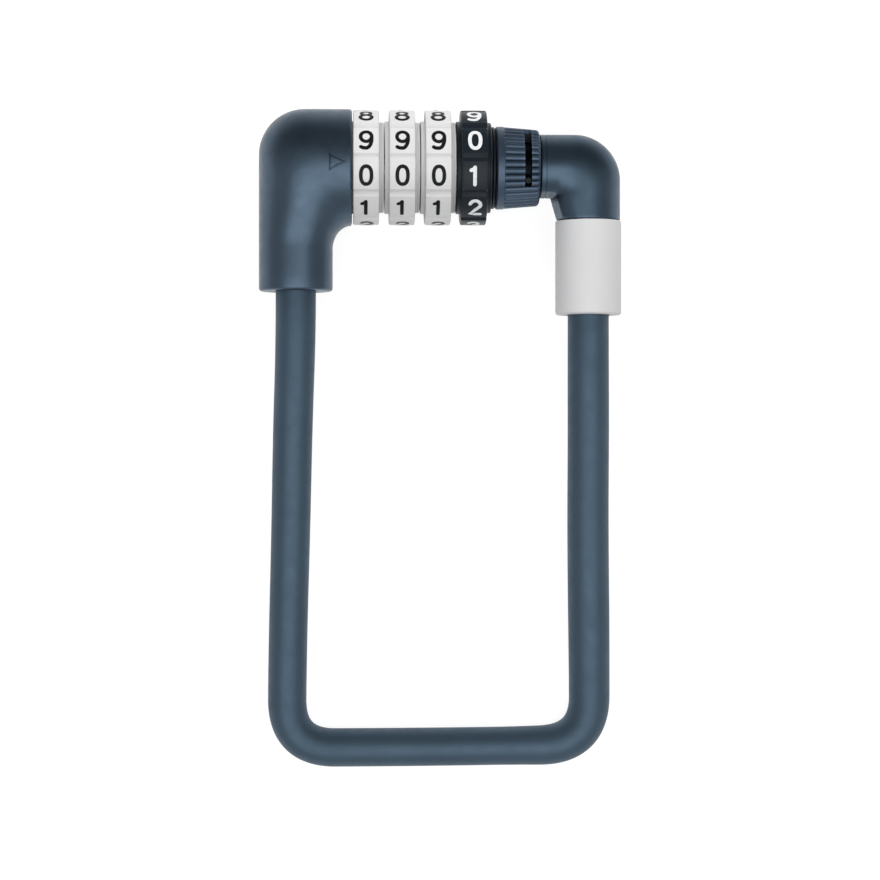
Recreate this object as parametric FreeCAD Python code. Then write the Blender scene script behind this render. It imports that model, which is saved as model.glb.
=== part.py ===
"""Laptop cable lock: a four-dial combination barrel, a plug that pulls out of it, and the
stiff cable that joins the two.

The lock lies on its back. Every piece is drawn about the dial axis, with x along the axis
from the barrel's face towards the plug, y towards the dials' side and away from the cable
loop, and z up. The last step moves it all so that the part stands on z = 0 with its rigid
pieces centred over the origin.

Angles round the dial axis count from straight up (+z) towards the cable loop (-y).
"""
import FreeCAD, Part
import math
import os

V = FreeCAD.Vector
DIAL_AXIS = V(1, 0, 0)
LOOP_WAY = V(0, -1, 0)
UP = V(0, 0, 1)

# Cable
CABLE_R = 5.0
WIRE_FLAT = 2.9

# Number dials
DIALS = 4
NUMBERS = 10
DIAL_R = 14.25
DIAL_WIDTH = 6.4
DIAL_PITCH = 8.9
FIRST_DIAL = 0.3
PAD_ANGLE = 28.0
PAD_GROOVE = 0.45
GROOVE_DRAFT = 1.2
DIAL_CHAMFER = 0.35
LEFT_HUB_R = 11.5
LEFT_HUB_LENGTH = 1.1
RIGHT_HUB_R = 11.25
RIGHT_HUB_LENGTH = 1.2
READING_ANGLE = 13.5

# Code rings inside the dials
TOOTH_R = 9.8
TOOTH_DEPTH = 1.1
CODE_RING_LENGTH = 8.4
CODE_RING_INSET = 0.15
RECESS_LENGTH = 4.2
RECESS_R = 6.9
NOTCH_DEPTH = 0.45

# Spindle tube and the key that holds it
SPINDLE_R = 5.5
SPINDLE_SEAT = 9.65
SPINDLE_KEY_HEIGHT = 3.0
SPINDLE_KEY_WIDTH = 2.0
SPINDLE_KEY_SETBACK = 7.0
SPRING_GROOVE_DEPTH = 0.9

# Locking pin
LOCK_PIN_R = 3.6
LOCK_PIN_TIP = 1.65
LUG_WIDTH = 2.0
LUG_LENGTH = 2.0
LUG_R = 6.55
LUG_SETBACK = 1.6
LOCK_CROSS_PIN_R = 1.0

# Leaf spring
LEAF_THICKNESS = 0.35
LEAF_WIDTH = 2.0
LEAF_TAIL = 5.0
BUMP_R = 6.9
BUMP_HALF = 1.5

# Barrel: moulded shell over a cast core
SHELL_PROUD = 0.25
ARM_X = -14.0
ARM_R = 9.2
ARM_LENGTH = 30.9
SHELL_CORNER_R = 11.5
THROAT_X = 4.7
THROAT_Y = 6.0
SHELL_CHAMFER = 0.7
CORE_FLAT = 9.5
CORE_BACK = 2.6
ARM_CORE_FLAT = 6.8
ARM_CORE_TOP = 2.0

# Mouth cap
MOUTH_CAP_R = 10.2
MOUTH_CAP_LENGTH = 0.7

# Plug: cast core, elbow cover, sleeve
LEG_REACH = 12.25
COVER_R = 8.0
COVER_RISE = 0.45
COVER_CORNER_R = 11.5
CREASE_X = 2.4
CREASE_R = 0.4
COVER_DROP = 13.0
COVER_CHAMFER = 0.25
PLUG_CORE_FLAT = 5.6
LEG_CORE_FLAT = 5.9
LEG_CORE_TOP = 1.0
SPIGOT_R = 6.5
SLEEVE_R = 8.25
SLEEVE_LENGTH = 23.5
SLEEVE_CHAMFER = 0.45

# Code-change collar and its guide pin
COLLAR_R = 10.3
COLLAR_END_R = 9.55
COLLAR_SHOULDER_R = 8.3
COLLAR_LENGTH = 11.1
COLLAR_BAND = 2.0
COLLAR_BAND_CHAMFER = 0.35
COLLAR_SHOULDER = 1.1
FLUTES = 36
FLUTE_DEPTH = 0.45
SLOT_X = 7.9
SLOT_WIDTH = 1.75
COLLAR_TURN = 90.0
SLOT_END_ANGLE = 35.8
GUIDE_PIN_R = 0.75
GUIDE_PIN_ANGLE = 26.0
GUIDE_PIN_TOP = 8.9
GUIDE_PIN_SINK = 2.2

# Six-sided ferrules on the wire core, and the clips in their notches
CABLE_LIP = 2.0
FERRULE_FLAT = 4.1
FERRULE_LENGTH = 12.0
CLIP_BITE = 0.8
CLIP_DEPTH = 1.8
CLIP_THICKNESS = 1.6
WIRE_TIP = 1.0

# Clearances
FIT = 0.08
PRESS = 0.02
SLIDE = 0.1
FREE = 0.3
SEAM = 0.2

# Sizes that follow from others
SHELL_R = DIAL_R + SHELL_PROUD
WIRE_LENGTH = CABLE_LIP + PRESS + FERRULE_LENGTH + WIRE_TIP

# Places along the dial axis
HUB_START = FIRST_DIAL - LEFT_HUB_LENGTH
CORE_FACE = HUB_START - SEAM
SPINDLE_START = CORE_FACE - SPINDLE_SEAT
LAST_DIAL_END = FIRST_DIAL + (DIALS - 1) * DIAL_PITCH + DIAL_WIDTH
MOUTH_START = LAST_DIAL_END + RIGHT_HUB_LENGTH + SEAM
MOUTH_END = MOUTH_START + MOUTH_CAP_LENGTH
COLLAR_START = MOUTH_END + SEAM
COLLAR_END = COLLAR_START + COLLAR_LENGTH
COVER_START = COLLAR_END + SEAM / 2
LEG_X = COVER_START + LEG_REACH
SLEEVE_TOP = -COVER_DROP - SEAM
SLEEVE_BOTTOM = SLEEVE_TOP - SLEEVE_LENGTH
SPINDLE_BORE = LOCK_PIN_R + FIT
STEP = 360.0 / NUMBERS

# How finely the ovals of the elbows, the shared round forms and the cable are cut into flats
OVAL_SIDES = 44
COVER_OVAL_SIDES = 44
SHELL_CORNER_STEPS = 5
COVER_CORNER_STEPS = 5
ROUND_SIDES = 30
BORE_SIDES = 20
CABLE_SIDES = 12

# Where the dial axis lies in the part's own frame
PLACE = V(
    (ARM_R - ARM_X - LEG_X - SLEEVE_R) / 2,
    -(SHELL_R + SLEEVE_BOTTOM) / 2,
    SHELL_R,
)

# The cable's route from the barrel to the plug. The two corners at the bottom of the loop
# are as tight as the real cable is folded, and the loop lies on the table.
TABLE = CABLE_R - SHELL_R
ROUTE = [
    V(ARM_X, -ARM_LENGTH, 0),
    V(ARM_X, -42.5, 0),
    V(-14.8, -64.2, -2.1),
    V(-15.4, -90.7, -6.1),
    V(-16.3, -121.3, TABLE + 0.2),
    V(-16.5, -145.9, TABLE),
    V(8.0, -145.9, TABLE),
    V(34.7, -145.7, TABLE),
    V(60.3, -145.3, TABLE),
    V(60.2, -120.8, TABLE + 0.2),
    V(59.6, -90.7, -6.1),
    V(59.4, -68.0, -2.3),
    V(LEG_X, -48.5, 0),
    V(LEG_X, SLEEVE_BOTTOM, 0),
]
BEND_SHARE = 0.45

os.makedirs("parts", exist_ok=True)


def export(name, shape):
    """Moves a piece from the dial axis to its place in the part and writes it."""
    placed = shape.copy()
    placed.translate(PLACE)
    placed.exportStep("parts/" + name + ".step")


def round_bar(start, end, radius):
    """A cylinder along the dial axis."""
    return Part.makeCylinder(radius, end - start, V(start, 0, 0), DIAL_AXIS)


def upright_bar(x, top, bottom, radius):
    """A cylinder from top down to bottom, in the cable's direction."""
    return Part.makeCylinder(radius, top - bottom, V(x, top, 0), LOOP_WAY)


def across_bar(x, half, radius):
    """A cylinder along z, centred on the middle plane."""
    return Part.makeCylinder(radius, 2 * half, V(x, 0, -half), UP)


def spoke(x, radius, angle):
    """A point at a radius and angle round the dial axis."""
    turn = math.radians(angle)
    return V(x, -radius * math.sin(turn), radius * math.cos(turn))


def outline(x, corners):
    """A closed wire through (radius, angle) corners in the plane at x."""
    points = [spoke(x, radius, angle) for radius, angle in corners]
    return Part.makePolygon(points + points[:1])


def prism(start, end, corners, end_corners=None):
    """A solid between an outline at start and the same or another one at end."""
    wires = [outline(start, corners), outline(end, end_corners or corners)]
    return Part.makeLoft(wires, True, True)


def round_corners(radius, sides=ROUND_SIDES):
    """Corners of a many-sided ring that stands for a circle."""
    return [(radius, 360.0 * i / sides) for i in range(sides)]


def octagon(flat):
    """Corners of an octagon with its flats this far from the axis."""
    corner = flat / math.cos(math.pi / 8)
    return [(corner, 22.5 + 45 * i) for i in range(8)]


def upright_prism(x, top, bottom, flat, sides):
    """A bar of this many sides in the cable's direction, with flats towards both x ways."""
    corner = flat / math.cos(math.pi / sides)
    turns = [math.pi * (2 * i + 1) / sides for i in range(sides)]
    points = [V(x + corner * math.cos(t), top, corner * math.sin(t)) for t in turns]
    face = Part.Face(Part.makePolygon(points + points[:1]))
    return face.extrude(LOOP_WAY * (top - bottom))


def key(start, end, radius, width):
    """A bar along the dial axis on the side away from the cable loop, from axis to radius."""
    return Part.makeBox(end - start, radius, width, V(start, 0, -width / 2))


# Elbows


def oval(pivot, way, inner, outer, half_depth, sides):
    """One oval of an elbow, cut into flats, in the plane through the pivot line and this way."""
    middle = pivot + way * ((inner + outer) / 2)
    half = (outer - inner) / 2
    turns = [2 * math.pi * i / sides for i in range(sides)]
    points = [middle + way * (half * math.cos(t)) + UP * (half_depth * math.sin(t)) for t in turns]
    return Part.makePolygon(points + points[:1])


def outer_reach(pivot, way, side, top, corner_r):
    """How far it is from the pivot, this way, to an outline of a top line, a corner and a side."""
    outward = 1 if side > pivot.x else -1
    corner = V(side - outward * corner_r, top - corner_r, 0)
    if way.y > 1e-9:
        reach = (top - pivot.y) / way.y
        if (pivot.x + way.x * reach - corner.x) * outward <= 0:
            return reach
    if abs(way.x) > 1e-9:
        reach = (side - pivot.x) / way.x
        if pivot.y + way.y * reach <= corner.y:
            return reach
    along = (corner - pivot).dot(way)
    aside = (corner - pivot).cross(way).Length
    return along + math.sqrt(corner_r ** 2 - aside ** 2)


def bend_turns(pivot, side, top, corner_r, steps):
    """Angles for an elbow's ovals: steps of them round its outer corner, and its two ends."""
    across = abs(side - pivot.x)
    along = top - pivot.y
    first = math.atan2(across - corner_r, along)
    last = math.atan2(across, along - corner_r)
    turns = [first + (last - first) * i / steps for i in range(steps + 1)]
    middle = (last + math.pi / 2) / 2
    return [0] + turns + [middle, math.pi / 2]


def bend_ovals(pivot, outward, inner_x, inner_y, side, top, corner_r, depths, steps, sides):
    """The ovals of an elbow's bend, which fan out round a pivot line.

    Its inner side is a quarter of an oval, inner_x by inner_y, about the pivot. Its outer
    side follows a top line, a round corner and a side line.
    """
    ovals = []
    for turn in bend_turns(pivot, side, top, corner_r, steps):
        way = V(outward * math.sin(turn), math.cos(turn), 0)
        inner = 1 / math.hypot(math.sin(turn) / inner_x, math.cos(turn) / inner_y)
        outer = outer_reach(pivot, way, side, top, corner_r)
        depth = depths[1] + (depths[0] - depths[1]) * math.cos(turn) ** 2
        ovals.append(oval(pivot, way, inner, outer, depth, sides))
    return ovals


# Dials and code rings


def dial_corners(inset=0.0):
    """Ten flat pads with a shallow groove between each two."""
    corners = []
    half = PAD_ANGLE / 2
    floor = DIAL_R - PAD_GROOVE - inset
    for i in range(NUMBERS):
        middle = READING_ANGLE + i * STEP
        corners += [
            (DIAL_R - inset, middle - half),
            (DIAL_R - inset, middle + half),
            (floor, middle + half + GROOVE_DRAFT),
            (floor, middle + STEP - half - GROOVE_DRAFT),
        ]
    return corners


def tooth_corners(clear=0.0):
    """Ten wide teeth; clear makes the mating outline in the dial's bore."""
    corners = []
    for i in range(NUMBERS):
        middle = READING_ANGLE + i * STEP
        corners.append((TOOTH_R + clear, middle))
        corners.append((TOOTH_R - TOOTH_DEPTH + clear, middle + STEP / 2))
    return corners


def make_dial(start):
    """A numbered ring with a hub each side and a toothed bore for its code ring."""
    end = start + DIAL_WIDTH
    left = start - LEFT_HUB_LENGTH
    right = end + RIGHT_HUB_LENGTH
    edge = dial_corners(DIAL_CHAMFER)
    body = prism(start, start + DIAL_CHAMFER, edge, dial_corners())
    body = body.fuse(prism(start + DIAL_CHAMFER, end - DIAL_CHAMFER, dial_corners()))
    body = body.fuse(prism(end - DIAL_CHAMFER, end, dial_corners(), edge))
    body = body.fuse(prism(left, start, round_corners(LEFT_HUB_R)))
    body = body.fuse(prism(end, right, round_corners(RIGHT_HUB_R)))
    return body.cut(prism(left, right, tooth_corners(FIT))).removeSplitter()


def make_code_ring(dial_start):
    """A toothed ring: a notched recess for the lug, then a wall that it passes at the gate."""
    start = dial_start - LEFT_HUB_LENGTH + CODE_RING_INSET
    end = start + CODE_RING_LENGTH
    wall = start + RECESS_LENGTH
    ring = prism(start, end, tooth_corners())
    flats = round_corners((SPINDLE_R + FIT) / math.cos(math.pi / BORE_SIDES), BORE_SIDES)
    ring = ring.cut(prism(wall, end, flats))
    notches = []
    for i in range(NUMBERS):
        notches.append((RECESS_R + NOTCH_DEPTH, 90 + i * STEP))
        notches.append((RECESS_R / math.cos(math.radians(STEP / 2)), 90 + (i + 0.5) * STEP))
    ring = ring.cut(prism(start, wall, notches))
    gate = key(wall, end, LUG_R + FREE, LUG_WIDTH + 2 * FREE)
    return ring.cut(gate).removeSplitter()


# Spindle, locking pin and leaf spring


def lug_start(dial_start):
    """Where a dial's lug begins, inside its code ring's recess."""
    return dial_start - LEFT_HUB_LENGTH + CODE_RING_INSET + LUG_SETBACK


def make_spindle_tube():
    """A steel tube with a slot for the lugs and a flat-floored groove for the leaf spring."""
    tube = round_bar(SPINDLE_START, MOUTH_END, SPINDLE_R)
    tube = tube.cut(round_bar(SPINDLE_START, MOUTH_END, SPINDLE_BORE))
    slot_start = lug_start(FIRST_DIAL) - FREE
    tube = tube.cut(key(slot_start, MOUTH_END, SPINDLE_R + 1, LUG_WIDTH + 2 * SLIDE))
    start = CORE_FACE - LEAF_TAIL
    floor = SPINDLE_R - SPRING_GROOVE_DEPTH
    width = LEAF_WIDTH + 2 * SLIDE
    corner = V(start, -floor - SPRING_GROOVE_DEPTH - 1, -width / 2)
    tube = tube.cut(Part.makeBox(MOUTH_END - start, SPRING_GROOVE_DEPTH + 1, width, corner))
    return tube.cut(make_spindle_key(PRESS)).removeSplitter()


def make_spindle_key(clear=0.0):
    """The flat key through the barrel core and the closed end of the spindle tube."""
    length = SPINDLE_KEY_WIDTH + 2 * clear
    height = SPINDLE_KEY_HEIGHT + 2 * clear
    middle = CORE_FACE - SPINDLE_KEY_SETBACK
    corner = V(middle - length / 2, -height / 2, -CORE_FLAT)
    return Part.makeBox(length, height, 2 * CORE_FLAT, corner)


def make_locking_pin():
    """A round pin with a lug for each dial, held in the plug core."""
    pin = round_bar(CORE_FACE - LOCK_PIN_TIP, LEG_X - SPIGOT_R, LOCK_PIN_R)
    for i in range(DIALS):
        start = lug_start(FIRST_DIAL + i * DIAL_PITCH)
        pin = pin.fuse(key(start, start + LUG_LENGTH, LUG_R, LUG_WIDTH))
    return pin.cut(make_lock_cross_pin(PRESS)).removeSplitter()


def make_lock_cross_pin(clear=0.0):
    """The pin that holds the locking pin in the plug core."""
    x = COVER_START + LOCK_CROSS_PIN_R + 2
    return across_bar(x, PLUG_CORE_FLAT, LOCK_CROSS_PIN_R + clear)


def make_detent_spring():
    """A leaf spring in the spindle's groove, with a bump in each code ring's recess."""
    seat = -(SPINDLE_R - SPRING_GROOVE_DEPTH)
    outside = seat - LEAF_THICKNESS
    under = []
    over = []
    for i in range(DIALS):
        ring_start = FIRST_DIAL + i * DIAL_PITCH - LEFT_HUB_LENGTH + CODE_RING_INSET
        middle = ring_start + RECESS_LENGTH / 2
        half = BUMP_HALF
        flat = BUMP_HALF / 3
        over += [(middle - half, outside), (middle - flat, -BUMP_R)]
        over += [(middle + flat, -BUMP_R), (middle + half, outside)]
        inner = LEAF_THICKNESS / 2
        under += [(middle - half + inner, seat), (middle - flat + inner, LEAF_THICKNESS - BUMP_R)]
        under += [(middle + flat - inner, LEAF_THICKNESS - BUMP_R), (middle + half - inner, seat)]
    start = CORE_FACE - LEAF_TAIL
    end = MOUTH_START - SEAM
    path = [(start, seat), (start, outside)] + over + [(end, outside), (end, seat)] + under[::-1]
    points = [V(x, y, -LEAF_WIDTH / 2) for x, y in path]
    face = Part.Face(Part.makePolygon(points + points[:1]))
    return face.extrude(UP * LEAF_WIDTH)


def make_mouth_cap():
    """The ring pressed on the spindle's end, with a way through for the lugs."""
    cap = prism(MOUTH_START, MOUTH_END, round_corners(MOUTH_CAP_R))
    cap = cap.cut(round_bar(MOUTH_START, MOUTH_END, SPINDLE_R + PRESS))
    return cap.cut(key(MOUTH_START, MOUTH_END, LUG_R + FREE, LUG_WIDTH + 2 * FREE))


# Cable ends and ferrules


def cable_socket(x, mouth):
    """The six-sided hole in a core for a ferrule and the end of the wire."""
    return upright_prism(x, mouth + WIRE_LENGTH + SEAM, mouth, FERRULE_FLAT + PRESS, 6)


def make_wire_end(x, mouth, clear=0.0):
    """The bare wire core of the cable's end, inside its ferrule."""
    return upright_prism(x, mouth + WIRE_LENGTH, mouth, WIRE_FLAT + clear, 8)


def ferrule_start(mouth):
    """The height of a ferrule's foot, which stands on the lip round the wire."""
    return mouth + CABLE_LIP + PRESS


def make_ferrule(x, mouth, flat):
    """A six-sided crimp on the wire, with a notch for its clip."""
    foot = ferrule_start(mouth)
    body = upright_prism(x, foot + FERRULE_LENGTH, foot, FERRULE_FLAT, 6)
    body = body.cut(make_wire_end(x, mouth, PRESS))
    return body.cut(make_ferrule_clip(x, mouth, flat, PRESS))


def make_ferrule_clip(x, mouth, flat, clear=0.0):
    """The plate through an eight-sided core that bites into a ferrule's side."""
    near = FERRULE_FLAT - CLIP_BITE
    half = flat * math.sqrt(2) - near - CLIP_DEPTH
    low = ferrule_start(mouth) + (FERRULE_LENGTH - CLIP_THICKNESS) / 2
    corner = V(x + near - clear, low - clear, -half)
    return Part.makeBox(CLIP_DEPTH + 2 * clear, CLIP_THICKNESS + 2 * clear, 2 * half, corner)


# Barrel


def barrel_core_block(clear=0.0):
    """The outside of the cast core: an eight-sided barrel block and an eight-sided arm."""
    back = ARM_X + CORE_BACK
    block = prism(back - clear, CORE_FACE, octagon(CORE_FLAT + clear))
    bottom = -ARM_LENGTH + CABLE_LIP - clear
    arm = upright_prism(ARM_X, ARM_CORE_TOP + clear, bottom, ARM_CORE_FLAT + clear, 8)
    return block.fuse(arm).removeSplitter()


def make_barrel_core():
    """The cast block that holds the spindle tube and the cable's end."""
    core = barrel_core_block()
    core = core.cut(round_bar(SPINDLE_START, CORE_FACE, SPINDLE_R + PRESS))
    core = core.cut(cable_socket(ARM_X, -ARM_LENGTH))
    core = core.cut(make_spindle_key(PRESS))
    return core.cut(make_ferrule_clip(ARM_X, -ARM_LENGTH, ARM_CORE_FLAT, PRESS))


def make_barrel_shell():
    """The moulded elbow that reduces from the dials' size to the arm's."""
    pivot = V(0, -SHELL_R - THROAT_Y, 0)
    side = ARM_X - ARM_R
    inner_x = -ARM_X - ARM_R
    ovals = bend_ovals(
        pivot, -1, inner_x, THROAT_Y, side, SHELL_R, SHELL_CORNER_R, (SHELL_R, ARM_R),
        SHELL_CORNER_STEPS, OVAL_SIDES,
    )
    for y, inset in ((-ARM_LENGTH + SHELL_CHAMFER, 0), (-ARM_LENGTH, SHELL_CHAMFER)):
        low = V(ARM_X, y, 0)
        radius = ARM_R - inset
        ovals.append(oval(low, V(-1, 0, 0), -radius, radius, radius, OVAL_SIDES))
    shell = Part.makeLoft(ovals, True, True)
    shell = shell.cut(barrel_core_block(PRESS))
    shell = shell.cut(prism(CORE_FACE, 1, round_corners(LEFT_HUB_R + FREE)))
    return shell.cut(make_wire_end(ARM_X, -ARM_LENGTH, PRESS))


# Plug


def plug_core_block(clear=0.0):
    """The outside of the plug core beyond its spigot: an eight-sided elbow."""
    run = prism(COVER_START, LEG_X, octagon(PLUG_CORE_FLAT + clear))
    bottom = SLEEVE_BOTTOM + CABLE_LIP - clear
    leg = upright_prism(LEG_X, LEG_CORE_TOP + clear, bottom, LEG_CORE_FLAT + clear, 8)
    return run.fuse(leg).removeSplitter()


def make_plug_core():
    """The cast elbow: a round spigot for the collar, and a leg that holds the cable end."""
    core = plug_core_block()
    core = core.fuse(round_bar(COLLAR_START, COVER_START, SPIGOT_R))
    core = core.cut(round_bar(COLLAR_START, LEG_X - SPIGOT_R, LOCK_PIN_R + PRESS))
    core = core.cut(make_lock_cross_pin(PRESS))
    core = core.cut(make_guide_pin(PRESS))
    core = core.cut(cable_socket(LEG_X, SLEEVE_BOTTOM))
    return core.cut(make_ferrule_clip(LEG_X, SLEEVE_BOTTOM, LEG_CORE_FLAT, PRESS))


def make_plug_cover():
    """The elbow cover, with a crease at its inner corner where the two arms meet."""
    corner_x = COVER_START + CREASE_X
    pivot = V(corner_x, COVER_RISE - COVER_R - CREASE_R, 0)
    away = V(0, 1, 0)
    ovals = []
    for x, inset in ((COVER_START, COVER_CHAMFER), (COVER_START + COVER_CHAMFER, 0)):
        radius = COVER_R - inset
        ovals.append(oval(V(x, COVER_RISE, 0), away, -radius, radius, radius, COVER_OVAL_SIDES))
    side = LEG_X + COVER_R
    ovals += bend_ovals(
        pivot, 1, CREASE_R, CREASE_R, side, COVER_RISE + COVER_R, COVER_CORNER_R, (COVER_R, COVER_R),
        COVER_CORNER_STEPS, COVER_OVAL_SIDES,
    )
    foot = V(LEG_X, -COVER_DROP, 0)
    ovals.append(oval(foot, DIAL_AXIS, -COVER_R, COVER_R, COVER_R, COVER_OVAL_SIDES))
    return Part.makeLoft(ovals, True, True).cut(plug_core_block(PRESS))


def make_cable_sleeve():
    """The plain sleeve over the plug core's leg, with a lip round the wire."""
    low = SLEEVE_BOTTOM + SLEEVE_CHAMFER
    small = SLEEVE_R - SLEEVE_CHAMFER
    body = upright_bar(LEG_X, SLEEVE_TOP, low, SLEEVE_R)
    rim = Part.makeCone(SLEEVE_R, small, SLEEVE_CHAMFER, V(LEG_X, low, 0), LOOP_WAY)
    body = body.fuse(rim)
    floor = SLEEVE_BOTTOM + CABLE_LIP - PRESS
    body = body.cut(upright_prism(LEG_X, SLEEVE_TOP, floor, LEG_CORE_FLAT + PRESS, 8))
    return body.cut(make_wire_end(LEG_X, SLEEVE_BOTTOM, PRESS))


# Collar


def make_guide_pin(clear=0.0):
    """The pin that stands out of the spigot into the collar's slot."""
    x = COLLAR_START + SLOT_X
    foot = spoke(x, SPIGOT_R - GUIDE_PIN_SINK, GUIDE_PIN_ANGLE)
    way = spoke(0, 1, GUIDE_PIN_ANGLE)
    length = GUIDE_PIN_TOP - SPIGOT_R + GUIDE_PIN_SINK
    return Part.makeCylinder(GUIDE_PIN_R + clear, length, foot, way)


def flute_corners(radius):
    """Ridges with a groove between each two."""
    corners = []
    pitch = 360.0 / FLUTES
    for i in range(FLUTES):
        corners.append((radius, i * pitch))
        corners.append((radius - FLUTE_DEPTH, (i + 0.5) * pitch))
    return corners


def make_collar():
    """A fluted grip with a plain band, a round shoulder and a slot part way round."""
    band_end = COLLAR_START + COLLAR_BAND
    shoulder = COLLAR_END - COLLAR_SHOULDER
    edge = COLLAR_START + COLLAR_BAND_CHAMFER
    band = round_corners(COLLAR_R, FLUTES)
    collar = prism(COLLAR_START, edge, round_corners(COLLAR_R - COLLAR_BAND_CHAMFER, FLUTES), band)
    collar = collar.fuse(prism(edge, band_end, band))
    grip = prism(band_end, shoulder, flute_corners(COLLAR_R - SLIDE), flute_corners(COLLAR_END_R))
    end = prism(
        shoulder, COLLAR_END, flute_corners(COLLAR_END_R), flute_corners(COLLAR_SHOULDER_R)
    )
    collar = collar.fuse(grip).fuse(end)
    collar = collar.cut(round_bar(COLLAR_START, COLLAR_END, SPIGOT_R + FIT))
    return collar.cut(collar_slot()).removeSplitter()


def collar_slot():
    """The slot that the guide pin runs in, as long as the collar's turn."""
    pin_half = math.degrees(GUIDE_PIN_R / GUIDE_PIN_TOP)
    slack = SLOT_END_ANGLE - GUIDE_PIN_ANGLE - pin_half
    start = GUIDE_PIN_ANGLE - COLLAR_TURN - pin_half - slack / 4
    low = COLLAR_START + SLOT_X - SLOT_WIDTH / 2
    high = low + SLOT_WIDTH
    inner = SPIGOT_R - 1
    outer = COLLAR_R + 1
    points = [
        spoke(low, inner, start), spoke(low, outer, start),
        spoke(high, outer, start), spoke(high, inner, start),
    ]
    face = Part.Face(Part.makePolygon(points + points[:1]))
    return face.revolve(V(0, 0, 0), DIAL_AXIS, SLOT_END_ANGLE - start)


# Cable


def make_cable():
    """A many-sided tube along the route, of straight runs joined by tangent arcs."""
    edges = []
    radii = []
    last = ROUTE[0]
    for before, point, after in zip(ROUTE, ROUTE[1:], ROUTE[2:]):
        back = (before - point).normalize()
        ahead = (after - point).normalize()
        half_turn = (math.pi - back.getAngle(ahead)) / 2
        cut = BEND_SHARE * min((before - point).Length, (after - point).Length)
        radius = cut / math.tan(half_turn)
        radii.append(round(radius, 1))
        start = point + back * cut
        end = point + ahead * cut
        inward = (back + ahead).normalize()
        middle = point + inward * (radius / math.cos(half_turn) - radius)
        edges.append(Part.LineSegment(last, start).toShape())
        edges.append(Part.Arc(start, middle, end).toShape())
        last = end
    edges.append(Part.LineSegment(last, ROUTE[-1]).toShape())
    path = Part.Wire(edges)
    section = oval(ROUTE[0], DIAL_AXIS, -CABLE_R, CABLE_R, CABLE_R, CABLE_SIDES)
    cable = path.makePipeShell([section], True, False)
    print("cable: bend radii", radii, "mm, length", round(path.Length, 1), "mm")
    expected = Part.Face(section).Area * path.Length
    print("cable: volume over section times length", round(cable.Volume / expected, 5))
    return cable


def main():
    """Builds every piece and writes it."""
    for i in range(DIALS):
        start = FIRST_DIAL + i * DIAL_PITCH
        export("dial_" + str(i + 1), make_dial(start))
        export("code_ring_" + str(i + 1), make_code_ring(start))
    export("spindle_tube", make_spindle_tube())
    export("spindle_key", make_spindle_key())
    export("detent_spring", make_detent_spring())
    export("mouth_cap", make_mouth_cap())
    export("barrel_core", make_barrel_core())
    export("barrel_shell", make_barrel_shell())
    export("locking_pin", make_locking_pin())
    export("locking_pin_cross_pin", make_lock_cross_pin())
    export("plug_core", make_plug_core())
    export("plug_cover", make_plug_cover())
    export("cable_sleeve", make_cable_sleeve())
    export("collar_guide_pin", make_guide_pin())
    export("code_change_collar", make_collar())
    ends = [
        ("barrel", ARM_X, -ARM_LENGTH, ARM_CORE_FLAT),
        ("plug", LEG_X, SLEEVE_BOTTOM, LEG_CORE_FLAT),
    ]
    for side, x, mouth, flat in ends:
        export(side + "_wire_end", make_wire_end(x, mouth))
        export(side + "_ferrule", make_ferrule(x, mouth, flat))
        export(side + "_ferrule_clip", make_ferrule_clip(x, mouth, flat))
    export("cable", make_cable())


main()
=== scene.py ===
"""Looks of a laptop cable lock: four number dials between a bent housing and a plug, and a
stiff cable that loops from one to the other.

Sizes are written in millimetres about the dial axis, as a maker would read them off the
lock: x from the housing's face towards the plug, y away from the cable loop, z up from the
table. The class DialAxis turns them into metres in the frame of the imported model.
"""
import logging
import math
from dataclasses import dataclass, field
from enum import Enum
from typing import Iterable, Sequence

import bmesh
import bpy
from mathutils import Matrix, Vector


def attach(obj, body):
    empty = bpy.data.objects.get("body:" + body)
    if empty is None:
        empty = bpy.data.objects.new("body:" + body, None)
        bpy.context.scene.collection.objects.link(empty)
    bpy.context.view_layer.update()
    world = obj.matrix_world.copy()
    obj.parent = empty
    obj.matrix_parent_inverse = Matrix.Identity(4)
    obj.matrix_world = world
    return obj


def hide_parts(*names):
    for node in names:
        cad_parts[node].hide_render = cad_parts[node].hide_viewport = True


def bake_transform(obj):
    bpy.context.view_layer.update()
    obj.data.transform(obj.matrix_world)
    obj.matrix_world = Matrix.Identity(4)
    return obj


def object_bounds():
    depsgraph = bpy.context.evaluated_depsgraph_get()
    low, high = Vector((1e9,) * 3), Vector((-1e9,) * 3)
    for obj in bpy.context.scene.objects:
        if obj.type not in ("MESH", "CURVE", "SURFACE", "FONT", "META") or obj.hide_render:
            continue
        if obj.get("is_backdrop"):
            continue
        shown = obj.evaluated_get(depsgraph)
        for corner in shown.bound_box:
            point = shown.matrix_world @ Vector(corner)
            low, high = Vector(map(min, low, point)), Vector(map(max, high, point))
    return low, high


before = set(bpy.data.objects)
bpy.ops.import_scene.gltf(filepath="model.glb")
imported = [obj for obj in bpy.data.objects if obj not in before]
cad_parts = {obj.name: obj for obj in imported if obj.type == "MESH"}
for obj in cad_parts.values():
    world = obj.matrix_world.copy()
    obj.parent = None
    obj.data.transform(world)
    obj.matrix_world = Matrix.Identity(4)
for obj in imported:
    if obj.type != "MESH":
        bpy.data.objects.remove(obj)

LOG = logging.getLogger("cable_lock")
MM = 0.001
MERGE = 1e-7
SHARP = 35.0
CAD_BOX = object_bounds()

Pair = tuple[float, float]
Place = tuple[float, float, float]
Colour = tuple[float, float, float]
Span = tuple[float, float, float, float]
Face = tuple[int, ...]
Ring = list[Vector]
Socket = bpy.types.NodeSocket


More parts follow.
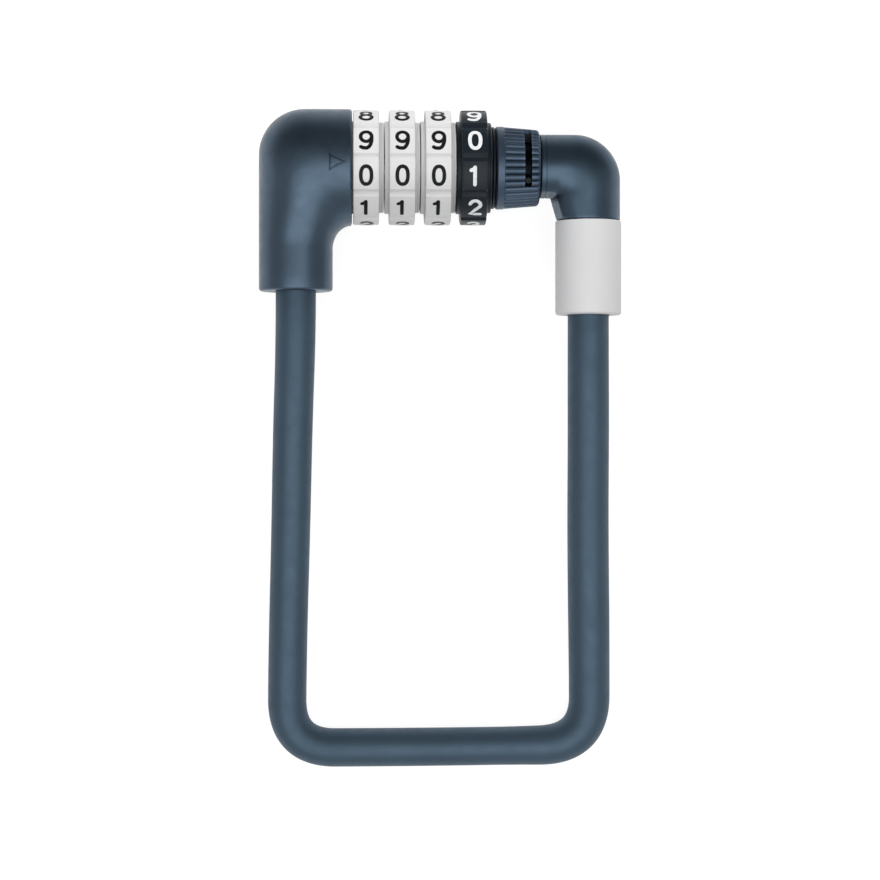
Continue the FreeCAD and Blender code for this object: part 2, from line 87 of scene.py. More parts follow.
def srgb(red: int, green: int, blue: int) -> Colour:
    """Turns a colour as a screen shows it into the linear colour that a shader takes.

    Args:
        red: Red, from 0 to 255.
        green: Green, from 0 to 255.
        blue: Blue, from 0 to 255.

    Returns:
        The linear colour.
    """
    linear = []
    for value in (red, green, blue):
        share = value / 255
        low = share <= 0.04045
        linear.append(share / 12.92 if low else ((share + 0.055) / 1.055) ** 2.4)
    return linear[0], linear[1], linear[2]


@dataclass(frozen=True)
class DialAxis:
    """The line that the dials turn about, and the place of the housing's face on it."""

    face_x: float = -22.1
    axis_y: float = 11.1
    axis_z: float = 14.5

    def point(self, x: float, y: float, z: float) -> Vector:
        """Gives a place beside the dial axis, in metres in the model's frame."""
        return Vector((x + self.face_x, y + self.axis_y, z + self.axis_z)) * MM

    def polar(self, x: float, radius: float, angle: float) -> Vector:
        """Gives a place in metres, by its degrees from straight up towards the cable loop."""
        turn = math.radians(angle)
        return self.point(x, -radius * math.sin(turn), radius * math.cos(turn))


AXIS = DialAxis()


class Body(Enum):
    """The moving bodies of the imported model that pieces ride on."""

    BARREL = "barrel"
    DIAL_1 = "dial_1_ring"
    DIAL_2 = "dial_2_ring"
    DIAL_3 = "dial_3_ring"
    DIAL_4 = "dial_4_ring"
    PLUG = "plug"
    COLLAR = "collar"


class Slot(Enum):
    """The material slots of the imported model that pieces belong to."""

    HOUSING = "blue_plastic"
    ELBOW = "elbow_plastic"
    MOUTH = "black_plastic"
    SLEEVE = "grey_plastic"
    WHITE_DIAL = "white_plastic"
    BLACK_DIAL = "dial_black"
    STEEL = "steel"
    CABLE = "cable_sheath"


class ShaderTree:
    """A small hand for building a tree of shader nodes."""

    def __init__(self, tree: bpy.types.NodeTree) -> None:
        """Takes the tree to build in."""
        self.tree = tree

    def feed(self, end: Socket, value: object) -> None:
        """Joins a socket or a node's first output to an input, or else sets the input's value."""
        if isinstance(value, bpy.types.Node):
            value = value.outputs[0]
        if isinstance(value, Socket):
            self.tree.links.new(value, end)
        else:
            end.default_value = value

    def node(
        self, kind: str, inputs: dict[str | int, object] | None = None, **settings: object
    ) -> bpy.types.Node:
        """Adds a node.

        Args:
            kind: Its kind, without the first word that all shader nodes share.
            inputs: What goes into its inputs, by their names or numbers.
            settings: The node's own properties.

        Returns:
            The node.
        """
        made = self.tree.nodes.new("ShaderNode" + kind)
        for name, value in settings.items():
            setattr(made, name, value)
        for name, value in (inputs or {}).items():
            self.feed(made.inputs[name], value)
        return made

    def spread(
        self, source: Socket, low: float, high: float, start: float = 0.3, end: float = 0.7
    ) -> Socket:
        """Maps a socket's values from start to end to values from low to high."""
        ends = {"From Min": start, "From Max": end, "To Min": low, "To Max": high}
        return self.node("MapRange", {"Value": source, **ends}).outputs["Result"]

    def level(self, share: Socket, first: object, second: object) -> Socket:
        """Mixes two values, each a number or a socket, by a share."""
        return self.node("Mix", {"Factor": share, "A": first, "B": second}).outputs[0]

    def mix(self, share: Socket, first: Colour | Socket, second: Colour | Socket) -> Socket:
        """Mixes two colours by a share.

        Args:
            share: The share of the second.
            first: A colour, or a socket with one.
            second: The other.

        Returns:
            The socket with the mixed colour.
        """
        made = self.node("Mix", {"Factor": share}, data_type="RGBA")
        ends = [socket for socket in made.inputs if socket.type == "RGBA"]
        for end, value in zip(ends, (first, second)):
            self.feed(end, value if isinstance(value, Socket) else (*value, 1))
        return [socket for socket in made.outputs if socket.type == "RGBA"][0]


class MaterialNodes(ShaderTree):
    """A hand for building one material."""

    def __init__(self, name: str) -> None:
        """Makes a plain material with its shader."""
        self.material = bpy.data.materials.new(name)
        self.material.use_nodes = True
        super().__init__(self.material.node_tree)
        self.shader = self.tree.nodes["Principled BSDF"]
        self.place = self.node("TexCoord").outputs["Object"]

    def set(self, **values: object) -> None:
        """Feeds the shader's inputs, with underscores for the spaces in their names."""
        for name, value in values.items():
            self.feed(self.shader.inputs[name.replace("_", " ")], value)

    def noise(self, size: float, detail: float, stretch: Place = (1, 1, 1)) -> Socket:
        """Gives a noise, about 0.5 on average.

        Args:
            size: Size of a lump in millimetres.
            detail: How many finer layers it has.
            stretch: How much finer it is along each axis.

        Returns:
            The socket with the noise.
        """
        mapping = self.node("Mapping", {"Vector": self.place, "Scale": stretch})
        inputs = {"Vector": mapping, "Scale": 1 / (size * MM), "Detail": detail}
        return self.node("TexNoise", inputs).outputs["Fac"]

    def bump(self, height: Socket, depth: float) -> None:
        """Presses a height from 0 to 1 into the surface, on top of what is there already.

        Args:
            height: The socket with the height.
            depth: Depth in millimetres between 0 and 1.
        """
        made = self.node("Bump", {"Height": height, "Distance": depth * MM, "Strength": 1.0})
        normal = self.shader.inputs["Normal"]
        if normal.links:
            self.feed(made.inputs["Normal"], normal.links[0].from_socket)
        self.feed(normal, made.outputs["Normal"])

    def edge_share(self, start: float, end: float) -> Socket:
        """Gives how far a point lies on a rubbed outer edge, from 0 to 1."""
        return self.spread(self.node("NewGeometry").outputs["Pointiness"], 0, 1, start, end)

    def open_share(self, reach: float) -> Socket:
        """Gives how open a point lies, from 0 to 1, to other surfaces within a reach."""
        return self.node("AmbientOcclusion", {"Distance": reach * MM}, samples=8).outputs["AO"]

    def radius_share(self, low: float, high: float) -> Socket:
        """Gives how far out from the dial axis a point lies.

        Args:
            low: The radius with share 0, in millimetres.
            high: The radius with share 1.

        Returns:
            The socket with the share.
        """
        middle = AXIS.point(0, 0, 0)
        across = self.node("VectorMath", {0: self.place, 1: (0, 1, 1)}, operation="MULTIPLY")
        ends = {0: across, 1: (0, middle.y, middle.z)}
        reach = self.node("VectorMath", ends, operation="DISTANCE").outputs["Value"]
        return self.spread(reach, 0, 1, low * MM, high * MM)


@dataclass(frozen=True)
class Finish:
    """What a piece is made of: the name of its material and its main colour."""

    name: str
    colour: Colour

    def shade(self, share: float) -> Colour:
        """Gives the colour, lighter or darker by a share of itself."""
        return tuple(min(1.0, part * share) for part in self.colour)

    def clouds(
        self, nodes: MaterialNodes, size: float, low: float, high: float, detail: float = 4
    ) -> Socket:
        """Gives the colour with soft clouds, of this size and from low to high shares of it."""
        share = nodes.spread(nodes.noise(size, detail), 0, 1)
        return nodes.mix(share, self.shade(low), self.shade(high))

    def dress(self, nodes: MaterialNodes) -> None:
        """Adds the nodes that make the finish."""
        raise NotImplementedError

    def build(self) -> bpy.types.Material:
        """Makes the material."""
        nodes = MaterialNodes(self.name)
        self.dress(nodes)
        return nodes.material


@dataclass(frozen=True)
class MouldedPlastic(Finish):
    """Moulded plastic with a satin grain, slightly rubbed edges and painted shade in its hollows.

    A part that is turned about the dial axis can darken inwards between the two radii of its
    shadow, in millimetres.
    """

    roughness: float = 0.42
    grain_depth: float = 0.012
    grain_size: float = 0.16
    cloud: float = 0.06
    edge: float = 1.25
    metal: float = 0.0
    shine: float = 0.5
    ior: float = 1.46
    cloud_size: float = 9.0
    wear: float = 0.05
    wear_size: float = 2.5
    rub_span: Pair = (0.53, 0.6)
    painted_shade: float = 0.5
    painted_shade_reach: float = 1.5
    painted_shade_span: Pair = (0.0, 1.0)
    shadow: Pair | None = None
    shadow_share: float = 0.06

    def dress(self, nodes: MaterialNodes) -> None:
        """Adds the nodes that make the finish."""
        body = self.clouds(nodes, self.cloud_size, 1 - self.cloud, 1 + self.cloud)
        body = nodes.mix(nodes.edge_share(*self.rub_span), body, self.shade(self.edge))
        # Painted shade: the colour darkens where ambient occlusion finds other surfaces close by,
        # in hollows, grooves, gaps and the slot.
        unshaded = nodes.spread(nodes.open_share(self.painted_shade_reach), 0, 1, *self.painted_shade_span)
        body = nodes.mix(unshaded, self.shade(1 - self.painted_shade), body)
        if self.shadow:
            body = nodes.mix(nodes.radius_share(*self.shadow), self.shade(self.shadow_share), body)
        wear = nodes.noise(self.wear_size, detail=5)
        rough = nodes.spread(wear, self.roughness - self.wear, self.roughness + self.wear)
        nodes.bump(nodes.noise(self.grain_size, detail=2), self.grain_depth)
        nodes.set(Base_Color=body, Roughness=rough, Metallic=self.metal)
        nodes.set(Specular_IOR_Level=self.shine, IOR=self.ior)


@dataclass(frozen=True)
class VinylSheath(Finish):
    """Soft vinyl drawn over wire rope, which prints through as faint waves."""

    roughness: float = 0.54
    metal: float = 0.65
    shine: float = 0.5
    ior: float = 1.5
    cloud: float = 0.05
    cloud_size: float = 14.0
    scuff: float = 0.35
    scuff_shade: float = 1.25
    scuff_size: float = 0.8
    scuff_stretch: Place = (1, 0.25, 1)
    scuff_span: Pair = (0.62, 0.78)
    wear: Pair = (-0.05, 0.06)
    wear_size: float = 3.5
    grain_size: float = 0.22
    grain_depth: float = 0.01
    wave_size: float = 5.0
    wave_depth: float = 0.05

    def dress(self, nodes: MaterialNodes) -> None:
        """Adds the nodes that make the finish."""
        body = self.clouds(nodes, self.cloud_size, 1 - self.cloud, 1 + self.cloud)
        streaks = nodes.noise(self.scuff_size, 6, self.scuff_stretch)
        scuffs = nodes.spread(streaks, 0, self.scuff, *self.scuff_span)
        body = nodes.mix(scuffs, body, self.shade(self.scuff_shade))
        low, high = self.wear
        wear = nodes.noise(self.wear_size, detail=5)
        rough = nodes.spread(wear, self.roughness + low, self.roughness + high)
        nodes.bump(nodes.noise(self.grain_size, detail=2), self.grain_depth)
        nodes.bump(nodes.noise(self.wave_size, detail=1), self.wave_depth)
        nodes.set(Base_Color=body, Roughness=rough, Metallic=self.metal)
        nodes.set(Specular_IOR_Level=self.shine, IOR=self.ior)


@dataclass(frozen=True)
class NumberPaint(Finish):
    """Thick pad-printed paint in the shape of a number."""

    shine: float = 0.35
    haze: float = 0.0
    haze_roughness: float = 0.3
    roughness: Pair = (0.36, 0.5)
    cloud: Pair = (0.9, 1.08)
    cloud_size: float = 0.7
    wear_size: float = 0.5
    grain_size: float = 0.12
    grain_depth: float = 0.008

    def dress(self, nodes: MaterialNodes) -> None:
        """Adds the nodes that make the finish."""
        body = self.clouds(nodes, self.cloud_size, *self.cloud)
        rough = nodes.spread(nodes.noise(self.wear_size, detail=3), *self.roughness)
        nodes.bump(nodes.noise(self.grain_size, detail=2), self.grain_depth)
        nodes.set(Base_Color=body, Roughness=rough, Specular_IOR_Level=self.shine)
        nodes.set(Sheen_Weight=self.haze, Sheen_Roughness=self.haze_roughness)


@dataclass(frozen=True)
class MadeMetal(Finish):
    """Metal as it comes from the die, the lathe or the rolling mill."""

    roughness: float
    grain_size: float
    grain_depth: float
    stretch: Place = (1, 1, 1)
    cloud: Pair = (0.86, 1.08)
    cloud_size: float = 3.0
    wear: Pair = (-0.08, 0.1)

    def dress(self, nodes: MaterialNodes) -> None:
        """Adds the nodes that make the finish."""
        low, high = self.wear
        body = self.clouds(nodes, self.cloud_size, *self.cloud, detail=5)
        grain = nodes.noise(self.grain_size, 4, self.stretch)
        rough = nodes.spread(grain, self.roughness + low, self.roughness + high)
        nodes.bump(grain, self.grain_depth)
        nodes.set(Base_Color=body, Roughness=rough, Metallic=1.0)


# Each moulded finish darkens its hollows as painted shade: the housing's chamfer by the dials, the
# dials' hub gaps and grooves, and the collar's slot and flutes.
HOUSING_FINISH = MouldedPlastic("housing_satin_blue", srgb(74, 90, 105), 0.37, metal=0.85)
ELBOW_FINISH = MouldedPlastic("elbow_satin_blue", srgb(70, 87, 102), 0.37, metal=0.85)
WHITE_DIAL_FINISH = MouldedPlastic(
    "dial_white", srgb(227, 227, 227), 0.45, 0.008, 0.2, 0.015, 1.02, painted_shade=0.38, painted_shade_reach=3.0
)
BLACK_DIAL_FINISH = MouldedPlastic(
    "dial_black", srgb(26, 34, 41), 0.36, 0.01, 0.2, 0.06, 1.5, shine=0.24,
    painted_shade=0.15, painted_shade_reach=3.0,
)
COLLAR_FINISH = MouldedPlastic(
    "collar_blue", srgb(72, 88, 106), 0.42, 0.012, 0.18, 0.08, 1.3, metal=0.7,
    painted_shade=0.85, painted_shade_reach=2.0, painted_shade_span=(0.35, 0.92), shadow=(8.3, 9.0),
)
MOUTH_FINISH = MouldedPlastic(
    "mouth_black", srgb(20, 26, 32), 0.42, 0.012, 0.18, 0.08, 1.5, shine=0.2
)
SLEEVE_FINISH = MouldedPlastic(
    "sleeve_light_grey", srgb(219, 219, 220), 0.45, 0.008, 0.2, 0.015, 1.03
)
SHEATH_FINISH = VinylSheath("cable_vinyl", srgb(71, 90, 106))
BLACK_PAINT = NumberPaint("number_black", srgb(26, 26, 27), 0.1, 0.25)
WHITE_PAINT = NumberPaint("number_white", srgb(238, 240, 242))
CAST_ZINC = MadeMetal("cast_zinc", srgb(176, 178, 180), 0.42, 0.5, 0.02)
BLACK_ZINC = MadeMetal("black_zinc", srgb(24, 27, 31), 0.5, 0.5, 0.02)
TURNED_STEEL = MadeMetal("turned_steel", srgb(198, 198, 200), 0.26, 0.12, 0.006, (0.05, 1, 1))
ROLLED_STEEL = MadeMetal("rolled_steel", srgb(170, 170, 174), 0.3, 0.15, 0.006, (0.05, 1, 1))
ROPE_STEEL = MadeMetal("rope_steel", srgb(160, 160, 162), 0.36, 0.6, 0.08, (1, 0.5, 1))
TURNED_BRASS = MadeMetal("turned_brass", srgb(40, 46, 42), 0.4, 0.12, 0.006)


def add_object(name: str, data: bpy.types.ID) -> bpy.types.Object:
    """Puts a new object with this data in the scene."""
    made = bpy.data.objects.new(name, data)
    bpy.context.scene.collection.objects.link(made)
    return made


def loft_faces(count: int, sides: int, closed: bool) -> list[Face]:
    """Gives the faces between rings of corners, and over the ends of an open row of rings.

    Args:
        count: How many rings there are.
        sides: How many corners each ring has.
        closed: Whether the last ring joins the first.

    Returns:
        The faces, as corner numbers.
    """
    faces = []
    for i in range(count if closed else count - 1):
        low = i * sides
        high = (i + 1) % count * sides
        for j in range(sides):
            k = (j + 1) % sides
            faces.append((low + j, low + k, high + k, high + j))
    if not closed:
        faces += [tuple(first + j for j in range(sides)) for first in (0, (count - 1) * sides)]
    return faces


class PieceMaker:
    """Builds smooth meshes, dresses them and ties each to the body that it rides on."""

    def __init__(self) -> None:
        """Starts with no materials made."""
        self.materials: dict[str, bpy.types.Material] = {}

    def material(self, finish: Finish) -> bpy.types.Material:
        """Gives the material of a finish, made once."""
        if finish.name not in self.materials:
            self.materials[finish.name] = finish.build()
        return self.materials[finish.name]

    def smooth(self, mesh: bpy.types.Mesh, sharp: float) -> None:
        """Smooths a mesh, but for edges that fold by more than this many degrees."""
        mesh.polygons.foreach_set("use_smooth", [True] * len(mesh.polygons))
        mesh.set_sharp_from_angle(angle=math.radians(sharp))

    def piece(
        self, name: str, points: Iterable[Vector], faces: Iterable[Face], finish: Finish,
        sharp: float = SHARP,
    ) -> bpy.types.Object:
        """Makes one mesh object.

        Args:
            name: The piece's name.
            points: Its corners, in metres.
            faces: Its faces, as corner numbers.
            finish: What it is made of.
            sharp: Edges that fold by more degrees than this stay sharp.

        Returns:
            The object.
        """
        mesh = bpy.data.meshes.new(name)
        mesh.from_pydata([tuple(p) for p in points], [], [tuple(f) for f in faces])
        work = bmesh.new()
        work.from_mesh(mesh)
        bmesh.ops.remove_doubles(work, verts=work.verts, dist=MERGE)
        bmesh.ops.recalc_face_normals(work, faces=work.faces)
        work.to_mesh(mesh)
        work.free()
        self.smooth(mesh, sharp)
        mesh.materials.append(self.material(finish))
        return add_object(name, mesh)

    def loft(
        self, name: str, rings: Sequence[Ring], finish: Finish, closed: bool = True,
        sharp: float = SHARP,
    ) -> bpy.types.Object:
        """Makes a piece from rings of corners, closed into a ring or with its ends filled."""
        faces = loft_faces(len(rings), len(rings[0]), closed)
        return self.piece(name, [p for ring in rings for p in ring], faces, finish, sharp)

    def soften(
        self, made: bpy.types.Object, width: float, segments: int = 3, fold: float = 30.0
    ) -> None:
        """Rounds the sharp edges of a piece.

        Args:
            made: The piece.
            width: Width of the rounding in millimetres.
            segments: How many strips of faces it has.
            fold: Edges that fold by more degrees than this are rounded.
        """
        bevel = made.modifiers.new("rounded_edges", "BEVEL")
        bevel.width = width * MM
        bevel.segments = segments
        bevel.limit_method = "ANGLE"
        bevel.angle_limit = math.radians(fold)
        bevel.harden_normals = True

    def fix(self, made: bpy.types.Object, body: Body, nodes: Iterable[str], slot: Slot) -> None:
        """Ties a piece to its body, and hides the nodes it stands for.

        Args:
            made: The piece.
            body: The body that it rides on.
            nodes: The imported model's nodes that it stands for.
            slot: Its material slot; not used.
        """
        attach(made, body.value)
        for node in nodes:
            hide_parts(node)
        LOG.info("%s rides on %s", made.name, body.value)


MAKER = PieceMaker()


def turned_ring(x: float, radius: float, sides: int = 96) -> Ring:
    """Gives a round ring of corners about the dial axis."""
    return [AXIS.polar(x, radius, 360 * i / sides) for i in range(sides)]


def rounded_step(
    low: float, high: float, radius: float, inset: float, steps: int = 4
) -> list[Pair]:
    """Gives (place, radius) pairs round an outer edge, from its end face to its side.

    Args:
        low: Where the end face lies.
        high: Where the rounding ends, at the full radius.
        radius: The full radius.
        inset: How much smaller the end face is.
        steps: How many steps the rounding has.

    Returns:
        The pairs, from the end face to the side.
    """
    pairs = []
    for i in range(steps + 1):
        turn = math.pi / 2 * i / steps
        place = low + (high - low) * (1 - math.cos(turn))
        pairs.append((place, radius - inset * (1 - math.sin(turn))))
    return pairs


@dataclass(kw_only=True)
class OvalForm:
    """Ovals beside the dial axis, each in millimetres about a middle point.

    They can lean towards their inner edge, by a share of their half width, and can have a
    flat facet from that edge up to an angle, in degrees.
    """

    lean: float = 0.0
    facet: float = 0.0
    sides: int = 128

    def oval(self, middle: Vector, way: Vector, half: float, depth: float) -> Ring:
        """Gives one oval.

        Args:
            middle: Its middle point.
            way: The direction from its inner edge to its outer one.
            half: Half its width.
            depth: Half its depth, from the table up.

        Returns:
            Its corners, in metres.
        """
        ring = []
        facet = math.radians(self.facet)
        for i in range(self.sides):
            turn = 2 * math.pi * i / self.sides
            across, up = math.cos(turn), math.sin(turn)
            off = math.pi - turn
            if abs(off) < facet:
                across = -1 + (1 - math.cos(facet)) * abs(off) / facet
                up = math.sin(facet) * off / facet
            place = middle + way * (half * (across - self.lean * abs(up)))
            ring.append(AXIS.point(place.x, place.y, depth * up))
        return ring

    def discs(self, way: Vector, places: Iterable[Place]) -> list[Ring]:
        """Gives as wide as deep ovals, each by its x, y and radius."""
        return [self.oval(Vector((x, y, 0)), way, r, r) for x, y, r in places]


@dataclass(kw_only=True)
class ElbowForm(OvalForm):
    """The outside of a bend whose ovals fan out round a pivot at its inner corner.

    The outer edges of the ovals follow the top, a round corner and the side.
    """

    pivot_x: float
    pivot_y: float
    outward: int
    inner_x: float
    inner_y: float
    side: float
    top: float
    corner_r: float
    start_depth: float
    end_depth: float

    def way(self, turn: float) -> Vector:
        """Gives the direction at an angle of the fan, away from the pivot."""
        return Vector((self.outward * math.sin(turn), math.cos(turn), 0))

    def reach(self, turn: float) -> float:
        """Gives how far the outer edge lies from the pivot.

        Args:
            turn: The angle of the fan, in radians.

        Returns:
            The distance in millimetres.
        """
        way_x = self.outward * math.sin(turn)
        way_y = math.cos(turn)
        corner_x = self.side - self.outward * self.corner_r
        corner_y = self.top - self.corner_r
        if way_y > 1e-9:
            reach = (self.top - self.pivot_y) / way_y
            if (self.pivot_x + way_x * reach - corner_x) * self.outward <= 0:
                return reach
        if abs(way_x) > 1e-9:
            reach = (self.side - self.pivot_x) / way_x
            if self.pivot_y + way_y * reach <= corner_y:
                return reach
        off_x = corner_x - self.pivot_x
        off_y = corner_y - self.pivot_y
        along = off_x * way_x + off_y * way_y
        aside = off_x * way_y - off_y * way_x
        return along + math.sqrt(self.corner_r ** 2 - aside ** 2)

    def section(self, turn: float) -> Place:
        """Gives the oval's inner edge, outer edge and half depth at an angle of the fan."""
        inner = 1 / math.hypot(math.sin(turn) / self.inner_x, math.cos(turn) / self.inner_y)
        depth = self.end_depth + (self.start_depth - self.end_depth) * math.cos(turn) ** 2
        return inner, self.reach(turn), depth

    def height(self, x: float, y: float) -> float:
        """Gives how high the surface lies over a point beside the dial axis.

        Args:
            x: The point's place along the axis.
            y: Its place away from the loop.

        Returns:
            The height over the axis, without lean and facet.
        """
        turn = math.atan2((x - self.pivot_x) * self.outward, y - self.pivot_y)
        inner, outer, depth = self.section(turn)
        off = math.hypot(x - self.pivot_x, y - self.pivot_y) - (inner + outer) / 2
        return depth * math.sqrt(1 - (2 * off / (outer - inner)) ** 2)

    def channel(self, places: Sequence[Pair], radius: float) -> list[Ring]:
        """Gives the three rings of a narrow channel that turns from the leg to the dial axis."""
        away, side = Vector((0, 1, 0)), Vector((self.outward, 0, 0))
        ways = (side, (away + side).normalized(), away)
        return [self.discs(way, [(x, y, radius)])[0] for way, (x, y) in zip(ways, places)]

    def bend(self, steps: int, first: float = 0.0) -> list[Ring]:
        """Gives the ovals of the bend.

        Args:
            steps: How many steps it has.
            first: The first oval's angle of the fan, in radians.

        Returns:
            The ovals, up to a right angle.
        """
        rings = []
        for i in range(steps + 1):
            turn = first + (math.pi / 2 - first) * i / steps
            inner, outer, depth = self.section(turn)
            way = self.way(turn)
            middle = Vector((self.pivot_x, self.pivot_y, 0)) + way * ((inner + outer) / 2)
            rings.append(self.oval(middle, way, (outer - inner) / 2, depth))
        return rings


@dataclass
class BarrelHousing:
    """The bent housing that the dials start at and the cable comes out of."""

    radius: float = 14.5
    arm_x: float = -14.0
    arm_radius: float = 9.2
    arm_length: float = 30.9
    arm_shares: Pair = (0.35, 0.7)
    throat_x: float = 4.8
    throat_y: float = 6.0
    corner_r: float = 11.5
    face_round: float = 0.65
    foot_round: float = 0.7
    hub_hole: float = 11.8
    hub_depth: float = 1.0
    hub_chamfer: float = 0.2
    cable_hole: float = 5.14
    hole_chamfer: float = 0.25
    lip: float = 1.9
    channel: tuple[Pair, ...] = ((-14.0, -8.0), (-12.0, -2.0), (-8.0, 0.0))
    bend_steps: int = 64
    mark_x: Pair = (-5.55, -1.3)
    mark_y: float = -0.1
    mark_half: float = 2.1
    mark_line: float = 0.58
    mark_depth: float = 0.65
    mark_above: float = 1.0
    mark_steps: int = 12

    def form(self) -> ElbowForm:
        """Gives the form of the bend."""
        return ElbowForm(
            pivot_x=0, pivot_y=-self.radius - self.throat_y, outward=-1,
            inner_x=self.throat_x, inner_y=self.throat_y,
            side=self.arm_x - self.arm_radius, top=self.radius, corner_r=self.corner_r,
            start_depth=self.radius, end_depth=self.arm_radius,
        )

    def rings(self) -> list[Ring]:
        """Gives the rings of the shell, from the dials' recess round to the cable's hole."""
        form = self.form()
        away, side = Vector((0, 1, 0)), Vector((-1, 0, 0))
        hub, hole, bevel = self.hub_hole, self.cable_hole, self.hole_chamfer
        face = [(-self.hub_depth, hub), (-self.hub_chamfer, hub), (0, hub + self.hub_chamfer)]
        face += rounded_step(0, -self.face_round, self.radius, self.face_round)[:-1]
        rings = form.discs(away, [(x, 0, r) for x, r in face])
        rings += form.bend(
            self.bend_steps, math.atan(self.face_round / (self.radius + self.throat_y))
        )
        top, foot = -self.radius - self.throat_y, -self.arm_length
        run = foot + self.foot_round - top
        arm = [(top + run * share, self.arm_radius) for share in self.arm_shares]
        edge = self.foot_round
        arm += reversed(rounded_step(foot, foot + edge, self.arm_radius, edge, steps=5))
        arm += [(foot, hole + bevel), (foot + bevel, hole), (foot + self.lip, hole)]
        rings += form.discs(side, [(self.arm_x, y, r) for y, r in arm])
        rings += form.channel(self.channel, hole)
        return rings + form.discs(away, [(-self.hub_depth, 0, hole)])

    def mark_edges(self) -> list[Pair]:
        """Gives the points round the arrow's outer edge, and then round its inner one."""
        low, high = self.mark_x
        y, half = self.mark_y, self.mark_half
        outer = [(low, y + half), (low, y - half), (high, y)]
        middle = (low * 2 + high) / 3
        share = 1 - self.mark_line / ((high - low) / 3)
        inner = [(middle + (px - middle) * share, y + (py - y) * share) for px, py in outer]
        points = []
        for corners in (outer, inner):
            for a, b in zip(corners, corners[1:] + corners[:1]):
                for i in range(self.mark_steps):
                    x = a[0] + (b[0] - a[0]) * i / self.mark_steps
                    points.append((x, a[1] + (b[1] - a[1]) * i / self.mark_steps))
        return points

    def mark_cutter(self) -> bpy.types.Object:
        """Makes the block that cuts the outlined arrow into the housing, to an even depth."""
        form = self.form()
        points = []
        for x, y in self.mark_edges():
            points.append(AXIS.point(x, y, form.height(x, y) - self.mark_depth))
            points.append(AXIS.point(x, y, self.radius + self.mark_above))
        count = len(points) // 4
        faces = []
        for i in range(count):
            j = (i + 1) % count
            near, far = 2 * i, 2 * j
            inside, beyond = 2 * (count + i), 2 * (count + j)
            faces.append((near, far, far + 1, near + 1))
            faces.append((inside, beyond, beyond + 1, inside + 1))
            faces.append((near, far, beyond, inside))
            faces.append((near + 1, far + 1, beyond + 1, inside + 1))
        return MAKER.piece("arrow_cutter", points, faces, HOUSING_FINISH)

    def build(self) -> None:
        """Makes the housing and cuts the arrow into it."""
        shell = MAKER.loft("housing", self.rings(), HOUSING_FINISH)
        cutter = self.mark_cutter()
        cut = shell.modifiers.new("arrow", "BOOLEAN")
        cut.operation = "DIFFERENCE"
        cut.object = cutter
        cut.solver = "EXACT"
        graph = bpy.context.evaluated_depsgraph_get()
        mesh = bpy.data.meshes.new_from_object(shell.evaluated_get(graph))
        shell.modifiers.clear()
        shell.data = mesh
        bpy.data.objects.remove(cutter)
        MAKER.smooth(mesh, SHARP)
        MAKER.fix(shell, Body.BARREL, ["barrel_shell"], Slot.HOUSING)


def arc(
    x: float, y: float, half_x: float, half_y: float, start: float, end: float, steps: int
) -> list[Pair]:
    """Gives points along an arc of the oval about (x, y), from one angle in degrees to another."""
    turns = [math.radians(start + (end - start) * i / steps) for i in range(steps + 1)]
    return [(x + half_x * math.cos(turn), y + half_y * math.sin(turn)) for turn in turns]


def squared_oval(half_x: float, half_y: float, power: float, steps: int = 40) -> list[Pair]:
    """Gives points round a slightly square oval.

    Args:
        half_x: Half its width.
        half_y: Half its height.
        power: How round it is: 1 for an oval, and less for a squarer form.
        steps: How many points it has.

    Returns:
        The points.
    """
    oval = []
    for i in range(steps):
        turn = 2 * math.pi * i / steps
        cos, sin = math.cos(turn), math.sin(turn)
        x = math.copysign(half_x * abs(cos) ** power, cos)
        oval.append((x, math.copysign(half_y * abs(sin) ** power, sin)))
    return oval


def number_lines() -> list[list[tuple[list[Pair], bool]]]:
    """Gives the middle lines of the numbers 0 to 9, in millimetres about a pad's middle.

    Returns:
        For each number its lines: each line's points, and whether it closes on itself.
    """
    nine = [
        (arc(0, 0.88, 1.36, 1.37, 0, 342, 38), True),
        (arc(0, 0.3, 1.36, 2.52, 8, -96, 24) + [(-0.75, -2.18), (-1.3, -1.92)], False),
    ]
    two = arc(0.15, 1.0, 1.28, 1.25, 165, -25, 22)
    return [
        [(squared_oval(1.31, 2.2, 0.85), True)],
        [([(-1.0, 1.3), (-0.62, 1.42), (-0.3, 1.66), (-0.08, 1.98)], False),
         ([(-0.08, 1.98), (-0.08, 1), (-0.08, 0), (-0.08, -1.2), (-0.08, -2.25)], False)],
        [(two + [(0.05, -0.8), (-1.1, -2.2), (0.15, -2.25), (1.45, -2.25)], False)],
        [(arc(-0.05, 1.12, 1.2, 1.13, 155, -80, 18), False),
         (arc(-0.05, -1.05, 1.38, 1.2, 82, -155, 20), False)],
        [([(0.55, 2.25), (-0.4, 0.7), (-1.35, -0.9), (0, -0.95), (1.35, -0.95)], False),
         ([(0.65, 2.2), (0.65, 0), (0.65, -2.25)], False)],
        [([(1.1, 2.2), (0, 2.2), (-0.9, 2.2), (-1.0, 1.2), (-1.1, 0.2)], False),
         (arc(-0.05, -0.85, 1.35, 1.4, 125, -150, 22), False)],
        [([(-x, -y) for x, y in line], closed) for line, closed in nine],
        [([(-1.3, 2.2), (0, 2.2), (1.3, 2.2), (0.5, 0), (-0.4, -2.25)], False)],
        [(arc(0, 1.2, 1.15, 1.05, 0, 342, 34), True),
         (arc(0, -1.05, 1.42, 1.2, 0, 342, 38), True)],
        nine,
    ]


@dataclass(frozen=True)
class Pad:
    """The middle of one pad: its place along the dial axis, its radius and its angle."""

    x: float
    radius: float
    angle: float

    def point(self, across: float, up: float, out: float) -> Vector:
        """Gives a place across, up and out from the pad's middle, in metres."""
        lean = math.degrees(up / self.radius)
        return AXIS.polar(self.x + across, self.radius + out, self.angle - lean)


